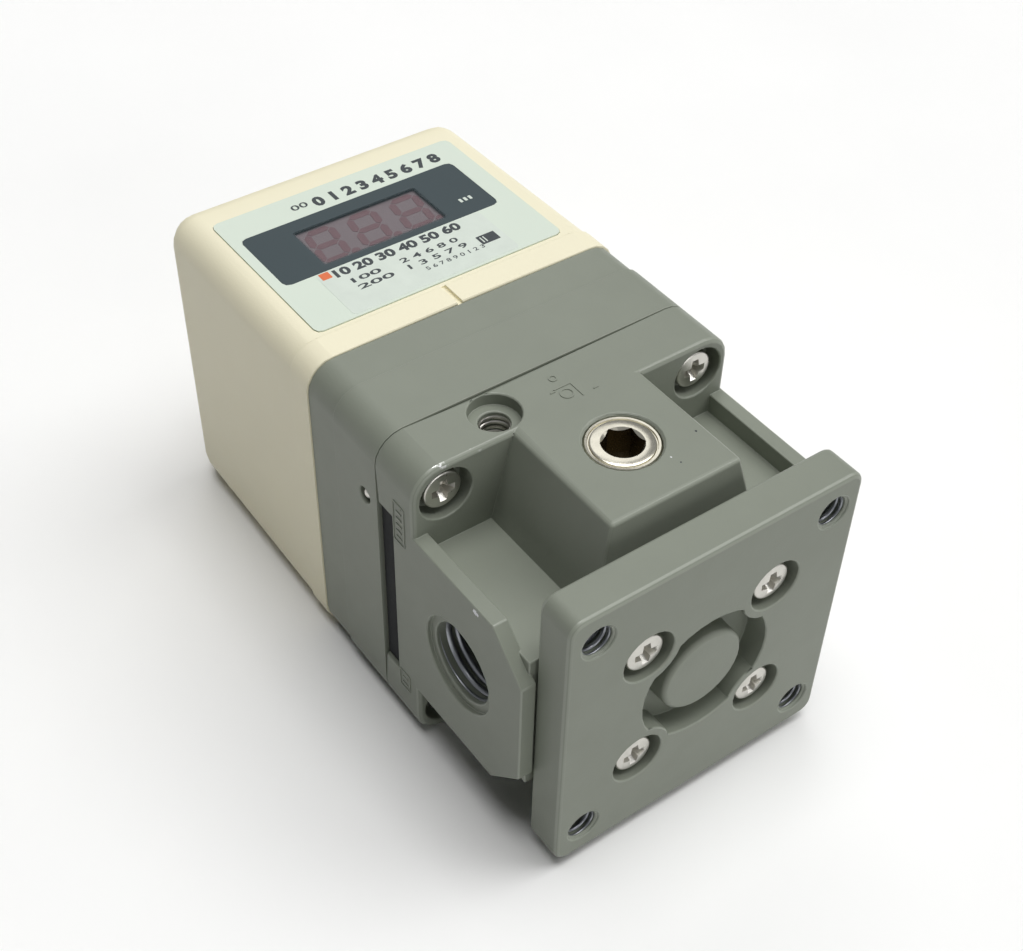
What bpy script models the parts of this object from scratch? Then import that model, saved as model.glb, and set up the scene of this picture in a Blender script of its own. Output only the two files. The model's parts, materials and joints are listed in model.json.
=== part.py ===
"""Electro pneumatic regulator with a port body, a pilot stage and a display cover.

It lies on its back with the display upwards. +Y runs along the stack from the end plate to the
electrical connector, +Z is the front with the display and -X is the supply side. The origin is
the middle of the outline's lower face. All lengths are in metres.
"""

import math

import bmesh
import bpy
from mathutils import Matrix, Vector

# Clearances
SEAT = 0.0003            # gap between two pieces that bear on or run in each other
OVER = 0.001             # reach of a cutter past the face that it opens
LAP = 0.0005             # depth by which joined forms run into each other

# Square section of the stack
BODY_WIDTH = 0.0500
BODY_CORNER = 0.0042
EDGE_ROUND = 0.0004
HALF = BODY_WIDTH / 2
AXIS_Z = HALF

# Pan head screws with a cross recess
SCREW_HEAD_RADIUS = 0.0028
SCREW_HEAD_HEIGHT = 0.0020
SCREW_CROWN = 0.0005
SCREW_SHANK_RADIUS = 0.00135
SCREW_SINK = 0.0006      # top of the head below the face around it
COUNTERBORE_RADIUS = 0.0039
RECESS_ARM = 0.0031
RECESS_SLOT = 0.0008
RECESS_DEPTH = 0.0011

# End plate
PLATE_INSET_X = 0.0025   # of its sides from those of the body
PLATE_INSET_Z = 0.0017
PLATE_WIDTH = BODY_WIDTH - 2 * PLATE_INSET_X
PLATE_HEIGHT = BODY_WIDTH - 2 * PLATE_INSET_Z
PLATE_THICKNESS = 0.0059
PLATE_CORNER = 0.0021
MOUNT_HOLE_RADIUS = 0.0022
MOUNT_HOLE_SINK = 0.0003
MOUNT_HOLE_FROM_SIDE = 0.0043
MOUNT_HOLE_FROM_TOP = 0.00505
MOUNT_SPREAD_X = PLATE_WIDTH / 2 - MOUNT_HOLE_FROM_SIDE
MOUNT_SPREAD_Z = PLATE_HEIGHT / 2 - MOUNT_HOLE_FROM_TOP
BASE_SCREW_SPREAD = 0.01005
BASE_SCREW_LENGTH = 0.0090
LAND_RADIUS = 0.0052     # full height land that each screw keeps round it
GROOVE_RADIUS = 0.0101
GROOVE_DEPTH = 0.0036
HUB_RADIUS = 0.0064
HUB_ROUND = 0.0007
HUB_SINK = 0.0005
SPIGOT_WALL = 0.0021
VENT_WIDTH = 0.0030

# Port block
BLOCK_LENGTH = 0.0220
CORE_HALF = 0.0119       # from the axis to the floor of the recesses beside the bosses
FLANGE_HALF = 0.0148
FLANGE_OVERLAP = 0.0006  # reach of the side flanges beside the end plate
FLANGE_CHAMFER = 0.0060
BOSS_WIDTH = 0.0200
BOSS_SETBACK = 0.0027
BOSS_SIDE_DRAFT = 0.25
BOSS_END_DRAFT = 0.13
BOSS_ROUND = 0.0006

# Ports
PORT_OFFSET = 0.0126     # from the block's end face to the axis of the three large ports
PORT_RADIUS = 0.0058
PORT_FLOOR = 0.0128      # from the axis of the stack to the floor of a large port
PORT_DEPTH = HALF - PORT_FLOOR
PORT_MOUTH_RADIUS = 0.0070
PORT_MOUTH_DEPTH = 0.0007
PASSAGE_RADIUS = 0.0023
GAUGE_OFFSET = 0.0132
GAUGE_DEPTH = 0.0100
GAUGE_MOUTH = 0.00015
GAUGE_PASSAGE_RADIUS = 0.0014
EXHAUST_PASSAGE_RADIUS = 0.0007
PLUG_RADIUS = 0.0047
PLUG_LENGTH = 0.0070
PLUG_SINK = 0.0002
PLUG_CHAMFER = 0.0006
HEX_ACROSS = 0.0050
HEX_DEPTH = 0.0040

# Head of the body
HEAD_LENGTH = 0.00825
CORNER_SCREW_FROM_SIDE = 0.0050
CORNER_SCREW_SPREAD = HALF - CORNER_SCREW_FROM_SIDE
CORNER_SCREW_LENGTH = 0.0115
SIDE_PORT_X = -0.00985
SIDE_PORT_FROM_FACE = 0.0039
SIDE_PORT_SINK_RADIUS = 0.0035
SIDE_PORT_SINK_DEPTH = 0.0018
SIDE_PORT_RADIUS = 0.0021
SIDE_PORT_DEPTH = 0.0060
VENT_SLOT_LENGTH = 0.0297
VENT_SLOT_HEIGHT = 0.0034
VENT_SLOT_DEPTH = 0.0045
VENT_SLOT_WALL = 0.0010  # left between a slot and the rim of the diaphragm

# Valve bore, along the axis of the stack
VALVE_BORE_RADIUS = 0.0080
ORIFICE_RADIUS = 0.0040
ORIFICE_WEB = 0.0025
OUTLET_CHAMBER_RADIUS = 0.0070
OUTLET_CHAMBER_LENGTH = 0.0065
BAFFLE_RADIUS = 0.0045
BAFFLE_THICKNESS = 0.0035
FEEDBACK_DEPTH = 0.00645
RIM_BORE = HALF - VENT_SLOT_DEPTH - VENT_SLOT_WALL
RIM_WIDTH = 0.0030
DIAPHRAGM_BORE = RIM_BORE - RIM_WIDTH
RIM_DEPTH = 0.0016

# Supply valve and its guide
GALLERY_LENGTH = 0.0016
GUIDE_THICKNESS = 0.0026
STEM_RADIUS = 0.0024
STEM_BORE = 0.0011
STEM_TAIL = 0.0002       # reach of the stem past the guide's back
STEM_TIP = 0.0009        # reach of the stem past the baffle
DISC_RADIUS = 0.0062
DISC_THICKNESS = 0.0015
FACE_RING_RADIUS = 0.0056
FACE_RING_THICKNESS = 0.0010
SPRING_RADIUS = 0.0043
SPRING_WIRE = 0.00022
SPRING_TURNS = 2.5

# Seal rings, by the radius of their section
PLATE_RING_RADIUS = 0.0099
PLATE_RING_SECTION = 0.0005
GUIDE_RING_SECTION = 0.0005
STEM_RING_SECTION = 0.0004

# Diaphragm and the plates that clamp its middle
DIAPHRAGM_THICKNESS = 0.0008
LOOP_RADIUS = 0.0019
LOOP_CLEARANCE = 0.0001
LOOP_MIDDLE = DIAPHRAGM_BORE - LOOP_CLEARANCE - LOOP_RADIUS - DIAPHRAGM_THICKNESS / 2
RIM_RADIUS = RIM_BORE - SEAT
PLATE_FROM_LOOP = 0.0006
LOWER_PLATE_RADIUS = LOOP_MIDDLE - LOOP_RADIUS - PLATE_FROM_LOOP
LOWER_PLATE_THICKNESS = 0.0020
HUB_BOSS_RADIUS = 0.0042
HUB_BOSS_LENGTH = 0.0016
PAD_RADIUS = 0.0030
PAD_THICKNESS = 0.0010
STUD_RADIUS = 0.0015
UPPER_PLATE_STEP = 0.0006
UPPER_PLATE_RADIUS = LOWER_PLATE_RADIUS - UPPER_PLATE_STEP
UPPER_PLATE_THICKNESS = 0.0012
STUD_NUT_ACROSS = 0.0055
STUD_NUT_HEIGHT = 0.0018

# Bonnet
BONNET_LENGTH = 0.0097
PILOT_DEPTH = 0.00475
BALL_RADIUS = 0.00095
BALL_FROM_FACE = 0.00285
BALL_RISE = 0.0133       # above the axis of the stack
PILOT_HOLE_RADIUS = 0.0009
GASKET_BORDER = 0.0035   # from the outer pilot holes to the gasket's ends
GASKET_HEIGHT = 0.0120
GASKET_THICKNESS = 0.0005

# Valve block
VALVE_BLOCK_INSET = 0.0002
VALVE_BLOCK_WIDTH = BODY_WIDTH - 2 * VALVE_BLOCK_INSET
VALVE_BLOCK_LENGTH = 0.0061
BLOCK_SCREW_FROM_SIDE = 0.0080
BLOCK_SCREW_FROM_TOP = 0.0125
BLOCK_SCREW_SPREAD_X = HALF - BLOCK_SCREW_FROM_SIDE
BLOCK_SCREW_SPREAD_Z = HALF - BLOCK_SCREW_FROM_TOP
BLOCK_SCREW_LENGTH = 0.0085

# Solenoid valves and pressure sensor
SOLENOID_BASE_HEIGHT = 0.0140
SOLENOID_BASE_LENGTH = 0.0050
SOLENOID_GAP = 0.0007    # to the pressure sensor
COIL_INSET = 0.0004
SENSOR_WIDTH = 0.0066
SENSOR_LENGTH = 0.0060
SENSOR_CAP_RADIUS = 0.0024
SENSOR_CAP_LENGTH = 0.0015

# Cover
COVER_LENGTH = 0.04085
COVER_WALL = 0.0022
COVER_END_WALL = 0.0024
STRIP_LENGTH = 0.00435
CREASE = 0.00018
COVER_DRAFT = 0.00045    # by which each side closes in towards the far end
COVER_END_ROUND = 0.0034
KEY_GROOVE_X = -0.0009
KEY_GROOVE_WIDTH = 0.0007
KEY_GROOVE_DEPTH = 0.0005
POST_FROM_SIDE = 0.0080
COVER_SCREW_SPREAD = HALF - POST_FROM_SIDE
COVER_SCREW_LENGTH = 0.0070
COVER_BORE_RADIUS = 0.0032
COVER_BOSS_RADIUS = 0.0044
COVER_BOSS_DEPTH = 0.0050
POST_ACROSS = 0.0045
POST_CLEARANCE = 0.0004  # to the pilot valves
POST_STUD_LENGTH = 0.0014

# Label, window and display, on the front face of the cover
LABEL_FROM_SIDE = 0.0053
LABEL_FROM_END = 0.0067
LABEL_CORNER = 0.0010
LABEL_THICKNESS = 0.00035
LABEL_FROM_CREASE = 0.0010
LABEL_PROUD = 0.00012
LABEL_WIDTH = BODY_WIDTH - 2 * LABEL_FROM_SIDE
LABEL_LENGTH = COVER_LENGTH - STRIP_LENGTH - LABEL_FROM_CREASE - LABEL_FROM_END
WINDOW_INSET = 0.0018
WINDOW_WIDTH = LABEL_WIDTH - 2 * WINDOW_INSET
WINDOW_LENGTH = 0.0127
WINDOW_X = -0.0011
WINDOW_THICKNESS = 0.0011
WINDOW_SHIFT = 0.00265   # from the label's middle towards the far end
DISPLAY_WIDTH = 0.0205
DISPLAY_LENGTH = 0.0092
DISPLAY_HEIGHT = 0.0060
DISPLAY_X = -0.00135
DISPLAY_SHIFT = 0.0021

# Circuit boards
BOARD_THICKNESS = 0.0016
BOARD_FROM_SIDE = 0.0060
BOARD_FROM_END = 0.00785
BOARD_SLOT_DEPTH = 0.0015
CONTROL_BOARD_WIDTH = BODY_WIDTH - 2 * BOARD_FROM_SIDE
CONTROL_BOARD_LENGTH = BOARD_SLOT_DEPTH + COVER_LENGTH - BOARD_FROM_END
CONTROL_BOARD_HEIGHT = 0.0070
DISPLAY_BOARD_FROM_SIDE = 0.0090
DISPLAY_BOARD_INSET = 0.0009
DISPLAY_BOARD_WIDTH = BODY_WIDTH - 2 * DISPLAY_BOARD_FROM_SIDE
DISPLAY_BOARD_LENGTH = LABEL_LENGTH - 2 * DISPLAY_BOARD_INSET
LINK_WIDTH = 0.0160
LINK_THICKNESS = 0.0025
LINK_FROM_EDGE = 0.0040
LINK_GAP = 0.00575       # to the pilot valves
CAPACITOR_RADIUS = 0.0030
CAPACITOR_HEIGHT = 0.0050
CHIP_WIDTH = 0.0080
CHIP_HEIGHT = 0.0018

# Round electrical connector at the far end
CONNECTOR_REACH = 0.0095
CONNECTOR_RISE = 0.0155  # of its axis above the lower face
CONNECTOR_RADIUS = 0.0060
CONNECTOR_WALL = 0.0012
CONNECTOR_FLANGE_RADIUS = 0.0080
CONNECTOR_FLANGE_THICKNESS = 0.0018
CONNECTOR_NUT_ACROSS = 0.0150
CONNECTOR_NUT_THICKNESS = 0.0024
CONNECTOR_TAIL = 0.0014
INSERT_LENGTH = 0.0060
PIN_RADIUS = 0.0005
PIN_CIRCLE = 0.0022
PIN_REACH = 0.0045
PIN_TAIL = 0.0015

# Smoothness of round forms
FINE_STEPS = 32
MIDDLE_STEPS = 24
INNER_STEPS = 20
SCREW_STEPS = 16
COARSE_STEPS = 12
CORNER_STEPS = 5

# The pilot valves fill the room between the sensor, the posts and the board link
SOLENOID_INNER = SENSOR_WIDTH / 2 + SOLENOID_GAP
SOLENOID_OUTER = COVER_SCREW_SPREAD - POST_ACROSS / math.sqrt(3) - POST_CLEARANCE
SOLENOID_WIDTH = SOLENOID_OUTER - SOLENOID_INNER
SOLENOID_LENGTH = COVER_LENGTH - BOARD_FROM_END - LINK_FROM_EDGE - LINK_THICKNESS / 2 - LINK_GAP
COIL_RADIUS = SOLENOID_WIDTH / 2 - COIL_INSET
PILOT_HOLE_SPREAD = (SOLENOID_INNER + SOLENOID_OUTER) / 2
GASKET_WIDTH = 2 * (PILOT_HOLE_SPREAD + GASKET_BORDER)

# Stations along the stack, counted from the end plate's outer face
TOTAL_LENGTH = (PLATE_THICKNESS + BLOCK_LENGTH + HEAD_LENGTH + BONNET_LENGTH + VALVE_BLOCK_LENGTH
                + COVER_LENGTH + CONNECTOR_REACH + 4 * SEAT)
Y_PLATE = -TOTAL_LENGTH / 2
Y_BLOCK = Y_PLATE + PLATE_THICKNESS + SEAT
Y_HEAD = Y_BLOCK + BLOCK_LENGTH
Y_FACE = Y_HEAD + HEAD_LENGTH
Y_BONNET = Y_FACE + SEAT
Y_VALVES = Y_BONNET + BONNET_LENGTH + SEAT
Y_COVER = Y_VALVES + VALVE_BLOCK_LENGTH + SEAT
Y_CREASE = Y_COVER + STRIP_LENGTH
Y_END = Y_COVER + COVER_LENGTH

# Stations of the valve train
Y_FEEDBACK = Y_FACE - FEEDBACK_DEPTH
Y_OUTLET_TOP = Y_FEEDBACK - BAFFLE_THICKNESS
Y_OUTLET = Y_OUTLET_TOP - OUTLET_CHAMBER_LENGTH
Y_SEAT = Y_OUTLET - ORIFICE_WEB
Y_GUIDE = Y_BLOCK + GALLERY_LENGTH
Y_DIAPHRAGM = Y_FACE + (SEAT - RIM_DEPTH) / 2
Y_TIP = Y_FEEDBACK + STEM_TIP
COUNTERBORE_DEPTH = SCREW_SINK + SCREW_HEAD_HEIGHT + SEAT
SHANK_HOLE = SCREW_SHANK_RADIUS + SEAT

PARTS = "electro_pneumatic_regulator"
CUTTERS = "cutters"
ALONG = Vector((0.0, 1.0, 0.0))
GREY_PAINT = ("grey_paint", (0.28, 0.30, 0.27), 0.45, 0.0)
CREAM = ("cream_moulding", (0.86, 0.83, 0.66), 0.5, 0.0)
PLATED = ("plated_steel", (0.70, 0.69, 0.66), 0.3, 1.0)
NICKEL = ("nickel_plate", (0.66, 0.62, 0.52), 0.25, 1.0)
BRASS = ("brass", (0.75, 0.56, 0.25), 0.3, 1.0)
STEEL = ("spring_steel", (0.45, 0.45, 0.46), 0.35, 1.0)
RUBBER = ("black_rubber", (0.03, 0.03, 0.03), 0.7, 0.0)
ALUMINIUM = ("machined_aluminium", (0.72, 0.73, 0.74), 0.35, 1.0)
LABEL_FILM = ("label_film", (0.68, 0.76, 0.66), 0.4, 0.0)
SMOKED = ("smoked_window", (0.06, 0.08, 0.09), 0.1, 0.0)
LED_FACE = ("display_face", (0.16, 0.12, 0.13), 0.3, 0.0)
BOARD = ("circuit_board", (0.05, 0.20, 0.10), 0.5, 0.0)
BLACK_PLASTIC = ("black_plastic", (0.04, 0.04, 0.045), 0.5, 0.0)
SLEEVE = ("capacitor_sleeve", (0.06, 0.06, 0.08), 0.4, 0.0)
GOLD = ("gold_plate", (0.83, 0.62, 0.24), 0.25, 1.0)


def clear_scene():
    """Remove what is in the scene and make the two collections."""
    for obj in list(bpy.data.objects):
        bpy.data.objects.remove(obj, do_unlink=True)
    for name in (PARTS, CUTTERS):
        bpy.context.scene.collection.children.link(bpy.data.collections.new(name))


def material(finish):
    """Return the Principled material of a finish: name, colour, roughness, metallic value."""
    name, colour, roughness, metallic = finish
    made = bpy.data.materials.get(name)
    if made is None:
        made = bpy.data.materials.new(name)
        made.use_nodes = True
        shader = made.node_tree.nodes["Principled BSDF"]
        shader.inputs["Base Color"].default_value = (*colour, 1.0)
        shader.inputs["Roughness"].default_value = roughness
        shader.inputs["Metallic"].default_value = metallic
    return made


def place(name, mesh, finish, location=(0, 0, 0), aim=None):
    """Put a mesh in the scene; aim turns its local Z that way. No finish makes it a cutter."""
    obj = bpy.data.objects.new(name, mesh)
    obj.location = location
    if aim is not None:
        obj.rotation_euler = Vector(aim).to_track_quat("Z", "Y").to_euler()
    if finish is None:
        obj.hide_render = True
        obj.display_type = "WIRE"
        bpy.data.collections[CUTTERS].objects.link(obj)
    else:
        mesh.materials.clear()
        mesh.materials.append(material(finish))
        bpy.data.collections[PARTS].objects.link(obj)
    return obj


def mesh_from(name, form):
    """Turn a bmesh into a mesh and free it."""
    mesh = bpy.data.meshes.new(name)
    form.to_mesh(mesh)
    form.free()
    return mesh


def is_along(edge, axis):
    """Tell whether an edge runs along the axis with that index."""
    run = edge.verts[1].co - edge.verts[0].co
    return abs(run[axis]) > 0.9 * run.length


def block_mesh(name, low, high, rounds=()):
    """A box between two corners. Each round is (test of an edge, radius, segments)."""
    form = bmesh.new()
    bmesh.ops.create_cube(form, size=1.0)
    low, high = Vector(low), Vector(high)
    bmesh.ops.scale(form, vec=high - low, verts=form.verts)
    bmesh.ops.translate(form, vec=(low + high) / 2, verts=form.verts)
    for test, radius, segments in rounds:
        chosen = [edge for edge in form.edges if test(edge)]
        bmesh.ops.bevel(form, geom=chosen, offset=radius, segments=segments, profile=0.5,
                        affect="EDGES", clamp_overlap=True)
    return mesh_from(name, form)


def block(name, low, high, finish=None, rounds=(), location=(0, 0, 0)):
    """Place a box whose corners are given from its location."""
    return place(name, block_mesh(name, low, high, rounds), finish, location)


def square_rounds(radius):
    """The rounding of the four edges that run along the stack."""
    return ((lambda edge: is_along(edge, 1), radius, CORNER_STEPS),)


def soften(obj, width, segments=1):
    """Round the sharp edges of a piece with a small Bevel."""
    bevel = obj.modifiers.new("edges", "BEVEL")
    bevel.width = width
    bevel.segments = segments
    bevel.limit_method = "ANGLE"
    bevel.angle_limit = math.radians(50)


def turned(name, profile, finish=None, location=(0, 0, 0), aim=ALONG, closed=False,
           steps=MIDDLE_STEPS):
    """Turn a profile of (radius, height) points, top to bottom on its outer side, round local Z."""
    mesh = bpy.data.meshes.new(name)
    count = len(profile)
    links = [(i, (i + 1) % count) for i in range(count if closed else count - 1)]
    mesh.from_pydata([(radius, 0.0, height) for radius, height in profile], links, [])
    obj = place(name, mesh, finish, location, aim)
    screw = obj.modifiers.new("turn", "SCREW")
    screw.steps = steps
    screw.render_steps = steps
    screw.use_merge_vertices = True
    screw.merge_threshold = 0.00001
    return obj


def disc_profile(radius, low, high):
    """Profile of a plain disc between two heights."""
    return [(0.0, high), (radius, high), (radius, low), (0.0, low)]


def ring_profile(inner, outer, low, high):
    """Profile of a plain ring between two heights."""
    return [(inner, high), (outer, high), (outer, low), (inner, low)]


def arc(middle, height, radius, start, end, count):
    """Points of an arc in a profile, from one angle in degrees to another."""
    angles = [math.radians(start + (end - start) * i / count) for i in range(count + 1)]
    return [(middle + radius * math.cos(a), height + radius * math.sin(a)) for a in angles]


def seal_ring(name, radius, section, station):
    """An O-ring round the axis of the stack."""
    loop = arc(radius, 0.0, section, 90, -270, 6)[:-1]
    return turned(name, loop, RUBBER, (0.0, station, AXIS_Z), closed=True, steps=INNER_STEPS)


def bore(name, mouth, out, steps, tip=0.0, fineness=MIDDLE_STEPS):
    """A stepped bore's cutter; out points from its mouth to the open and steps are (radius, depth)."""
    profile = [(0.0, OVER), (steps[0][0], OVER)]
    reached = 0.0
    for radius, depth in steps:
        if reached:
            profile.append((radius, -reached))
        profile.append((radius, -depth))
        reached = depth
    profile.append((0.0, -reached - tip))
    return turned(name, profile, None, mouth, out, steps=fineness)


def drill(name, start, end, radius):
    """The cutter of a plain hole from one point to another."""
    start, end = Vector(start), Vector(end)
    run = end - start
    return turned(name, disc_profile(radius, 0.0, run.length), None, start, run, steps=COARSE_STEPS)


def combine(obj, other, operation):
    """Cut another object from a piece or join it to the piece."""
    change = obj.modifiers.new(other.name, "BOOLEAN")
    change.object = other
    change.operation = operation
    change.solver = "EXACT"


def cut(obj, *cutters):
    """Cut each of the cutters from a piece."""
    for cutter in cutters:
        combine(obj, cutter, "DIFFERENCE")


def join(obj, *forms):
    """Join helper forms to a piece."""
    for form in forms:
        combine(obj, form, "UNION")


def four_corners(spread_x, spread_z, middle=AXIS_Z):
    """The four (x, z) places round the axis of the stack, or round another height."""
    return [(sx * spread_x, middle + sz * spread_z) for sx in (-1, 1) for sz in (-1, 1)]


def side_pair(spread, height=AXIS_Z):
    """The two (x, z) places left and right of the middle."""
    return [(-spread, height), (spread, height)]


def settled(obj):
    """Return the evaluated mesh of an object and remove the object."""
    bpy.context.view_layer.update()
    graph = bpy.context.evaluated_depsgraph_get()
    mesh = bpy.data.meshes.new_from_object(obj.evaluated_get(graph))
    mesh.transform(obj.matrix_world)
    bpy.data.objects.remove(obj, do_unlink=True)
    return mesh


def screw_mesh(name, length):
    """A pan head screw that points to +Y, with the top of its head at the origin."""
    crown_edge = SCREW_HEAD_RADIUS * 0.72
    profile = [(0.0, 0.0), (crown_edge, 0.0), (SCREW_HEAD_RADIUS, -SCREW_CROWN * 1.6),
               (SCREW_HEAD_RADIUS, -SCREW_HEAD_HEIGHT), (SCREW_SHANK_RADIUS, -SCREW_HEAD_HEIGHT),
               (SCREW_SHANK_RADIUS, -SCREW_HEAD_HEIGHT - length + SCREW_CROWN),
               (SCREW_SHANK_RADIUS - SCREW_CROWN, -SCREW_HEAD_HEIGHT - length),
               (0.0, -SCREW_HEAD_HEIGHT - length)]
    screw = turned(name + "_blank", profile, None, aim=-ALONG, steps=SCREW_STEPS)
    arms = []
    for turn, (width, height) in enumerate(((RECESS_ARM, RECESS_SLOT), (RECESS_SLOT, RECESS_ARM))):
        arms.append(block(f"{name}_recess_{turn}", (-width / 2, -OVER, -height / 2),
                          (width / 2, RECESS_DEPTH, height / 2)))
    cut(screw, *arms)
    mesh = settled(screw)
    for arm in arms:
        bpy.data.objects.remove(arm, do_unlink=True)
    return mesh


def copies(name, mesh, finish, station, places):
    """One mesh at several (x, z) places across the stack, as pieces numbered from one."""
    for number, (x, z) in enumerate(places, 1):
        place(f"{name}_{number}", mesh, finish, (x, station, z))


def screw_set(name, length, station, places, backwards=False):
    """Screws across the stack with the tops of their heads at a station."""
    mesh = screw_mesh(name, length)
    if backwards:
        mesh.transform(Matrix.Rotation(math.pi, 4, "Z"))
    copies(name, mesh, PLATED, station, places)


def hexagon(name, across, low, high, finish=None, location=(0, 0, 0)):
    """A hexagonal prism along Y from its width across the flats."""
    return prism(name, 6, across / math.sqrt(3), low, high, finish, location)


def prism(name, sides, radius, low, high, finish=None, location=(0, 0, 0)):
    """A prism along Y, between two stations counted from its location."""
    form = bmesh.new()
    bmesh.ops.create_cone(form, cap_ends=True, segments=sides, radius1=radius, radius2=radius,
                          depth=high - low)
    bmesh.ops.rotate(form, matrix=Matrix.Rotation(-math.pi / 2, 3, "X"), verts=form.verts)
    bmesh.ops.translate(form, vec=(0.0, (low + high) / 2, 0.0), verts=form.verts)
    return place(name, mesh_from(name, form), finish, location)


def base_screw_tip():
    """Station of the tips of the end plate's screws."""
    return Y_PLATE + SCREW_SINK + SCREW_HEAD_HEIGHT + BASE_SCREW_LENGTH


def corner_screw_tip():
    """Station of the tips of the screws in the head's corners."""
    return Y_HEAD + SCREW_SINK + SCREW_HEAD_HEIGHT + CORNER_SCREW_LENGTH


def block_screw_tip():
    """Station of the tips of the valve block's screws."""
    return Y_COVER - SEAT - SCREW_HEAD_HEIGHT - BLOCK_SCREW_LENGTH


def end_plate():
    """The end plate with its ring groove, lands, holes and the spigot that holds the guide."""
    plate = block("base_plate", (-PLATE_WIDTH / 2, 0.0, -PLATE_HEIGHT / 2),
                  (PLATE_WIDTH / 2, PLATE_THICKNESS, PLATE_HEIGHT / 2), GREY_PAINT,
                  square_rounds(PLATE_CORNER), (0.0, Y_PLATE, AXIS_Z))
    soften(plate, EDGE_ROUND)
    spigot_outer = VALVE_BORE_RADIUS - SEAT
    spigot = turned("plate_spigot", ring_profile(spigot_outer - SPIGOT_WALL, spigot_outer,
                                                 PLATE_THICKNESS - LAP,
                                                 PLATE_THICKNESS + GALLERY_LENGTH),
                    None, (0.0, Y_PLATE, AXIS_Z), closed=True)
    vent = block("spigot_vent", (-VENT_WIDTH / 2, PLATE_THICKNESS + EDGE_ROUND, -2 * spigot_outer),
                 (VENT_WIDTH / 2, PLATE_THICKNESS + GALLERY_LENGTH + OVER, 0.0),
                 location=(0.0, Y_PLATE, AXIS_Z))
    cut(spigot, vent)
    join(plate, spigot)
    cut(plate, ring_groove())
    for number, (x, z) in enumerate(four_corners(MOUNT_SPREAD_X, MOUNT_SPREAD_Z)):
        cut(plate, bore(f"mount_hole_{number}", (x, Y_PLATE, z), -ALONG,
                        ((MOUNT_HOLE_RADIUS + MOUNT_HOLE_SINK, MOUNT_HOLE_SINK),
                         (MOUNT_HOLE_RADIUS, PLATE_THICKNESS + OVER))))
    for number, (x, z) in enumerate(four_corners(BASE_SCREW_SPREAD, BASE_SCREW_SPREAD)):
        cut(plate, bore(f"base_screw_hole_{number}", (x, Y_PLATE, z), -ALONG,
                        ((COUNTERBORE_RADIUS, COUNTERBORE_DEPTH),
                         (SHANK_HOLE, PLATE_THICKNESS + OVER))))


def ring_groove():
    """The cutter of the ring groove: round a rounded hub, broken by a land at each screw."""
    hub_top = -HUB_SINK - HUB_ROUND
    hub_edge = arc(HUB_RADIUS - HUB_ROUND, hub_top, HUB_ROUND, 90, 0, 3)
    profile = [(0.0, OVER), (GROOVE_RADIUS, OVER), (GROOVE_RADIUS, -GROOVE_DEPTH),
               (HUB_RADIUS, -GROOVE_DEPTH)] + hub_edge[::-1] + [(0.0, -HUB_SINK)]
    groove = turned("ring_groove", profile, None, (0.0, Y_PLATE, AXIS_Z), -ALONG,
                    steps=FINE_STEPS)
    for number, (x, z) in enumerate(four_corners(BASE_SCREW_SPREAD, BASE_SCREW_SPREAD)):
        cut(groove, turned(f"screw_land_{number}", disc_profile(LAND_RADIUS, -PLATE_THICKNESS, 2 * OVER),
                           None, (x, Y_PLATE, z), -ALONG))
    return groove


def boss(name, up):
    """A drafted boss from the recess floor to the front (up = 1) or back (up = -1) face."""
    form = bmesh.new()
    bmesh.ops.create_cube(form, size=1.0)
    height = HALF - CORE_HALF + LAP
    for vert in form.verts:
        outer = vert.co.z * up > 0
        drop = 0.0 if outer else height
        half = BOSS_WIDTH / 2 + drop * BOSS_SIDE_DRAFT
        start = BOSS_SETBACK - drop * BOSS_END_DRAFT
        vert.co.x = math.copysign(half, vert.co.x)
        vert.co.y = start if vert.co.y < 0 else BLOCK_LENGTH + LAP
        vert.co.z = up * (HALF if outer else CORE_HALF - LAP)
    bmesh.ops.recalc_face_normals(form, faces=form.faces)

    def is_open(edge):
        middle = (edge.verts[0].co + edge.verts[1].co) / 2
        return middle.y < BLOCK_LENGTH * 0.75 and middle.z * up > CORE_HALF

    bmesh.ops.bevel(form, geom=[edge for edge in form.edges if is_open(edge)], offset=BOSS_ROUND,
                    segments=2, profile=0.5, affect="EDGES", clamp_overlap=True)
    return place(name, mesh_from(name, form), None, (0.0, Y_BLOCK, AXIS_Z))


def flange(name, side):
    """A side flange with chamfered corners, which reaches past the end plate's edge."""
    inner = PLATE_WIDTH / 2 + SEAT
    low_y = -SEAT - FLANGE_OVERLAP

    def is_corner(edge):
        return is_along(edge, 0) and edge.verts[0].co.y < 0

    x = sorted((side * inner, side * HALF))
    return block(name, (x[0], low_y, -FLANGE_HALF), (x[1], BLOCK_LENGTH + LAP, FLANGE_HALF), None,
                 ((is_corner, FLANGE_CHAMFER, 1),), (0.0, Y_BLOCK, AXIS_Z))


def valve_bore():
    """The cutter of the chambers along the axis, from the plate's side to the diaphragm."""
    length = Y_FACE - Y_BLOCK
    marks = [Y_SEAT - Y_BLOCK, Y_OUTLET - Y_BLOCK, Y_OUTLET_TOP - Y_BLOCK, Y_FEEDBACK - Y_BLOCK]
    profile = [(0.0, length + OVER), (RIM_BORE, length + OVER), (RIM_BORE, length - RIM_DEPTH),
               (DIAPHRAGM_BORE, length - RIM_DEPTH), (DIAPHRAGM_BORE, marks[3]),
               (BAFFLE_RADIUS, marks[3]), (BAFFLE_RADIUS, marks[2]),
               (OUTLET_CHAMBER_RADIUS, marks[2]), (OUTLET_CHAMBER_RADIUS, marks[1]),
               (ORIFICE_RADIUS, marks[1]), (ORIFICE_RADIUS, marks[0]),
               (VALVE_BORE_RADIUS, marks[0]), (VALVE_BORE_RADIUS, -OVER), (0.0, -OVER)]
    return turned("valve_bore", profile, None, (0.0, Y_BLOCK, AXIS_Z))


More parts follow.
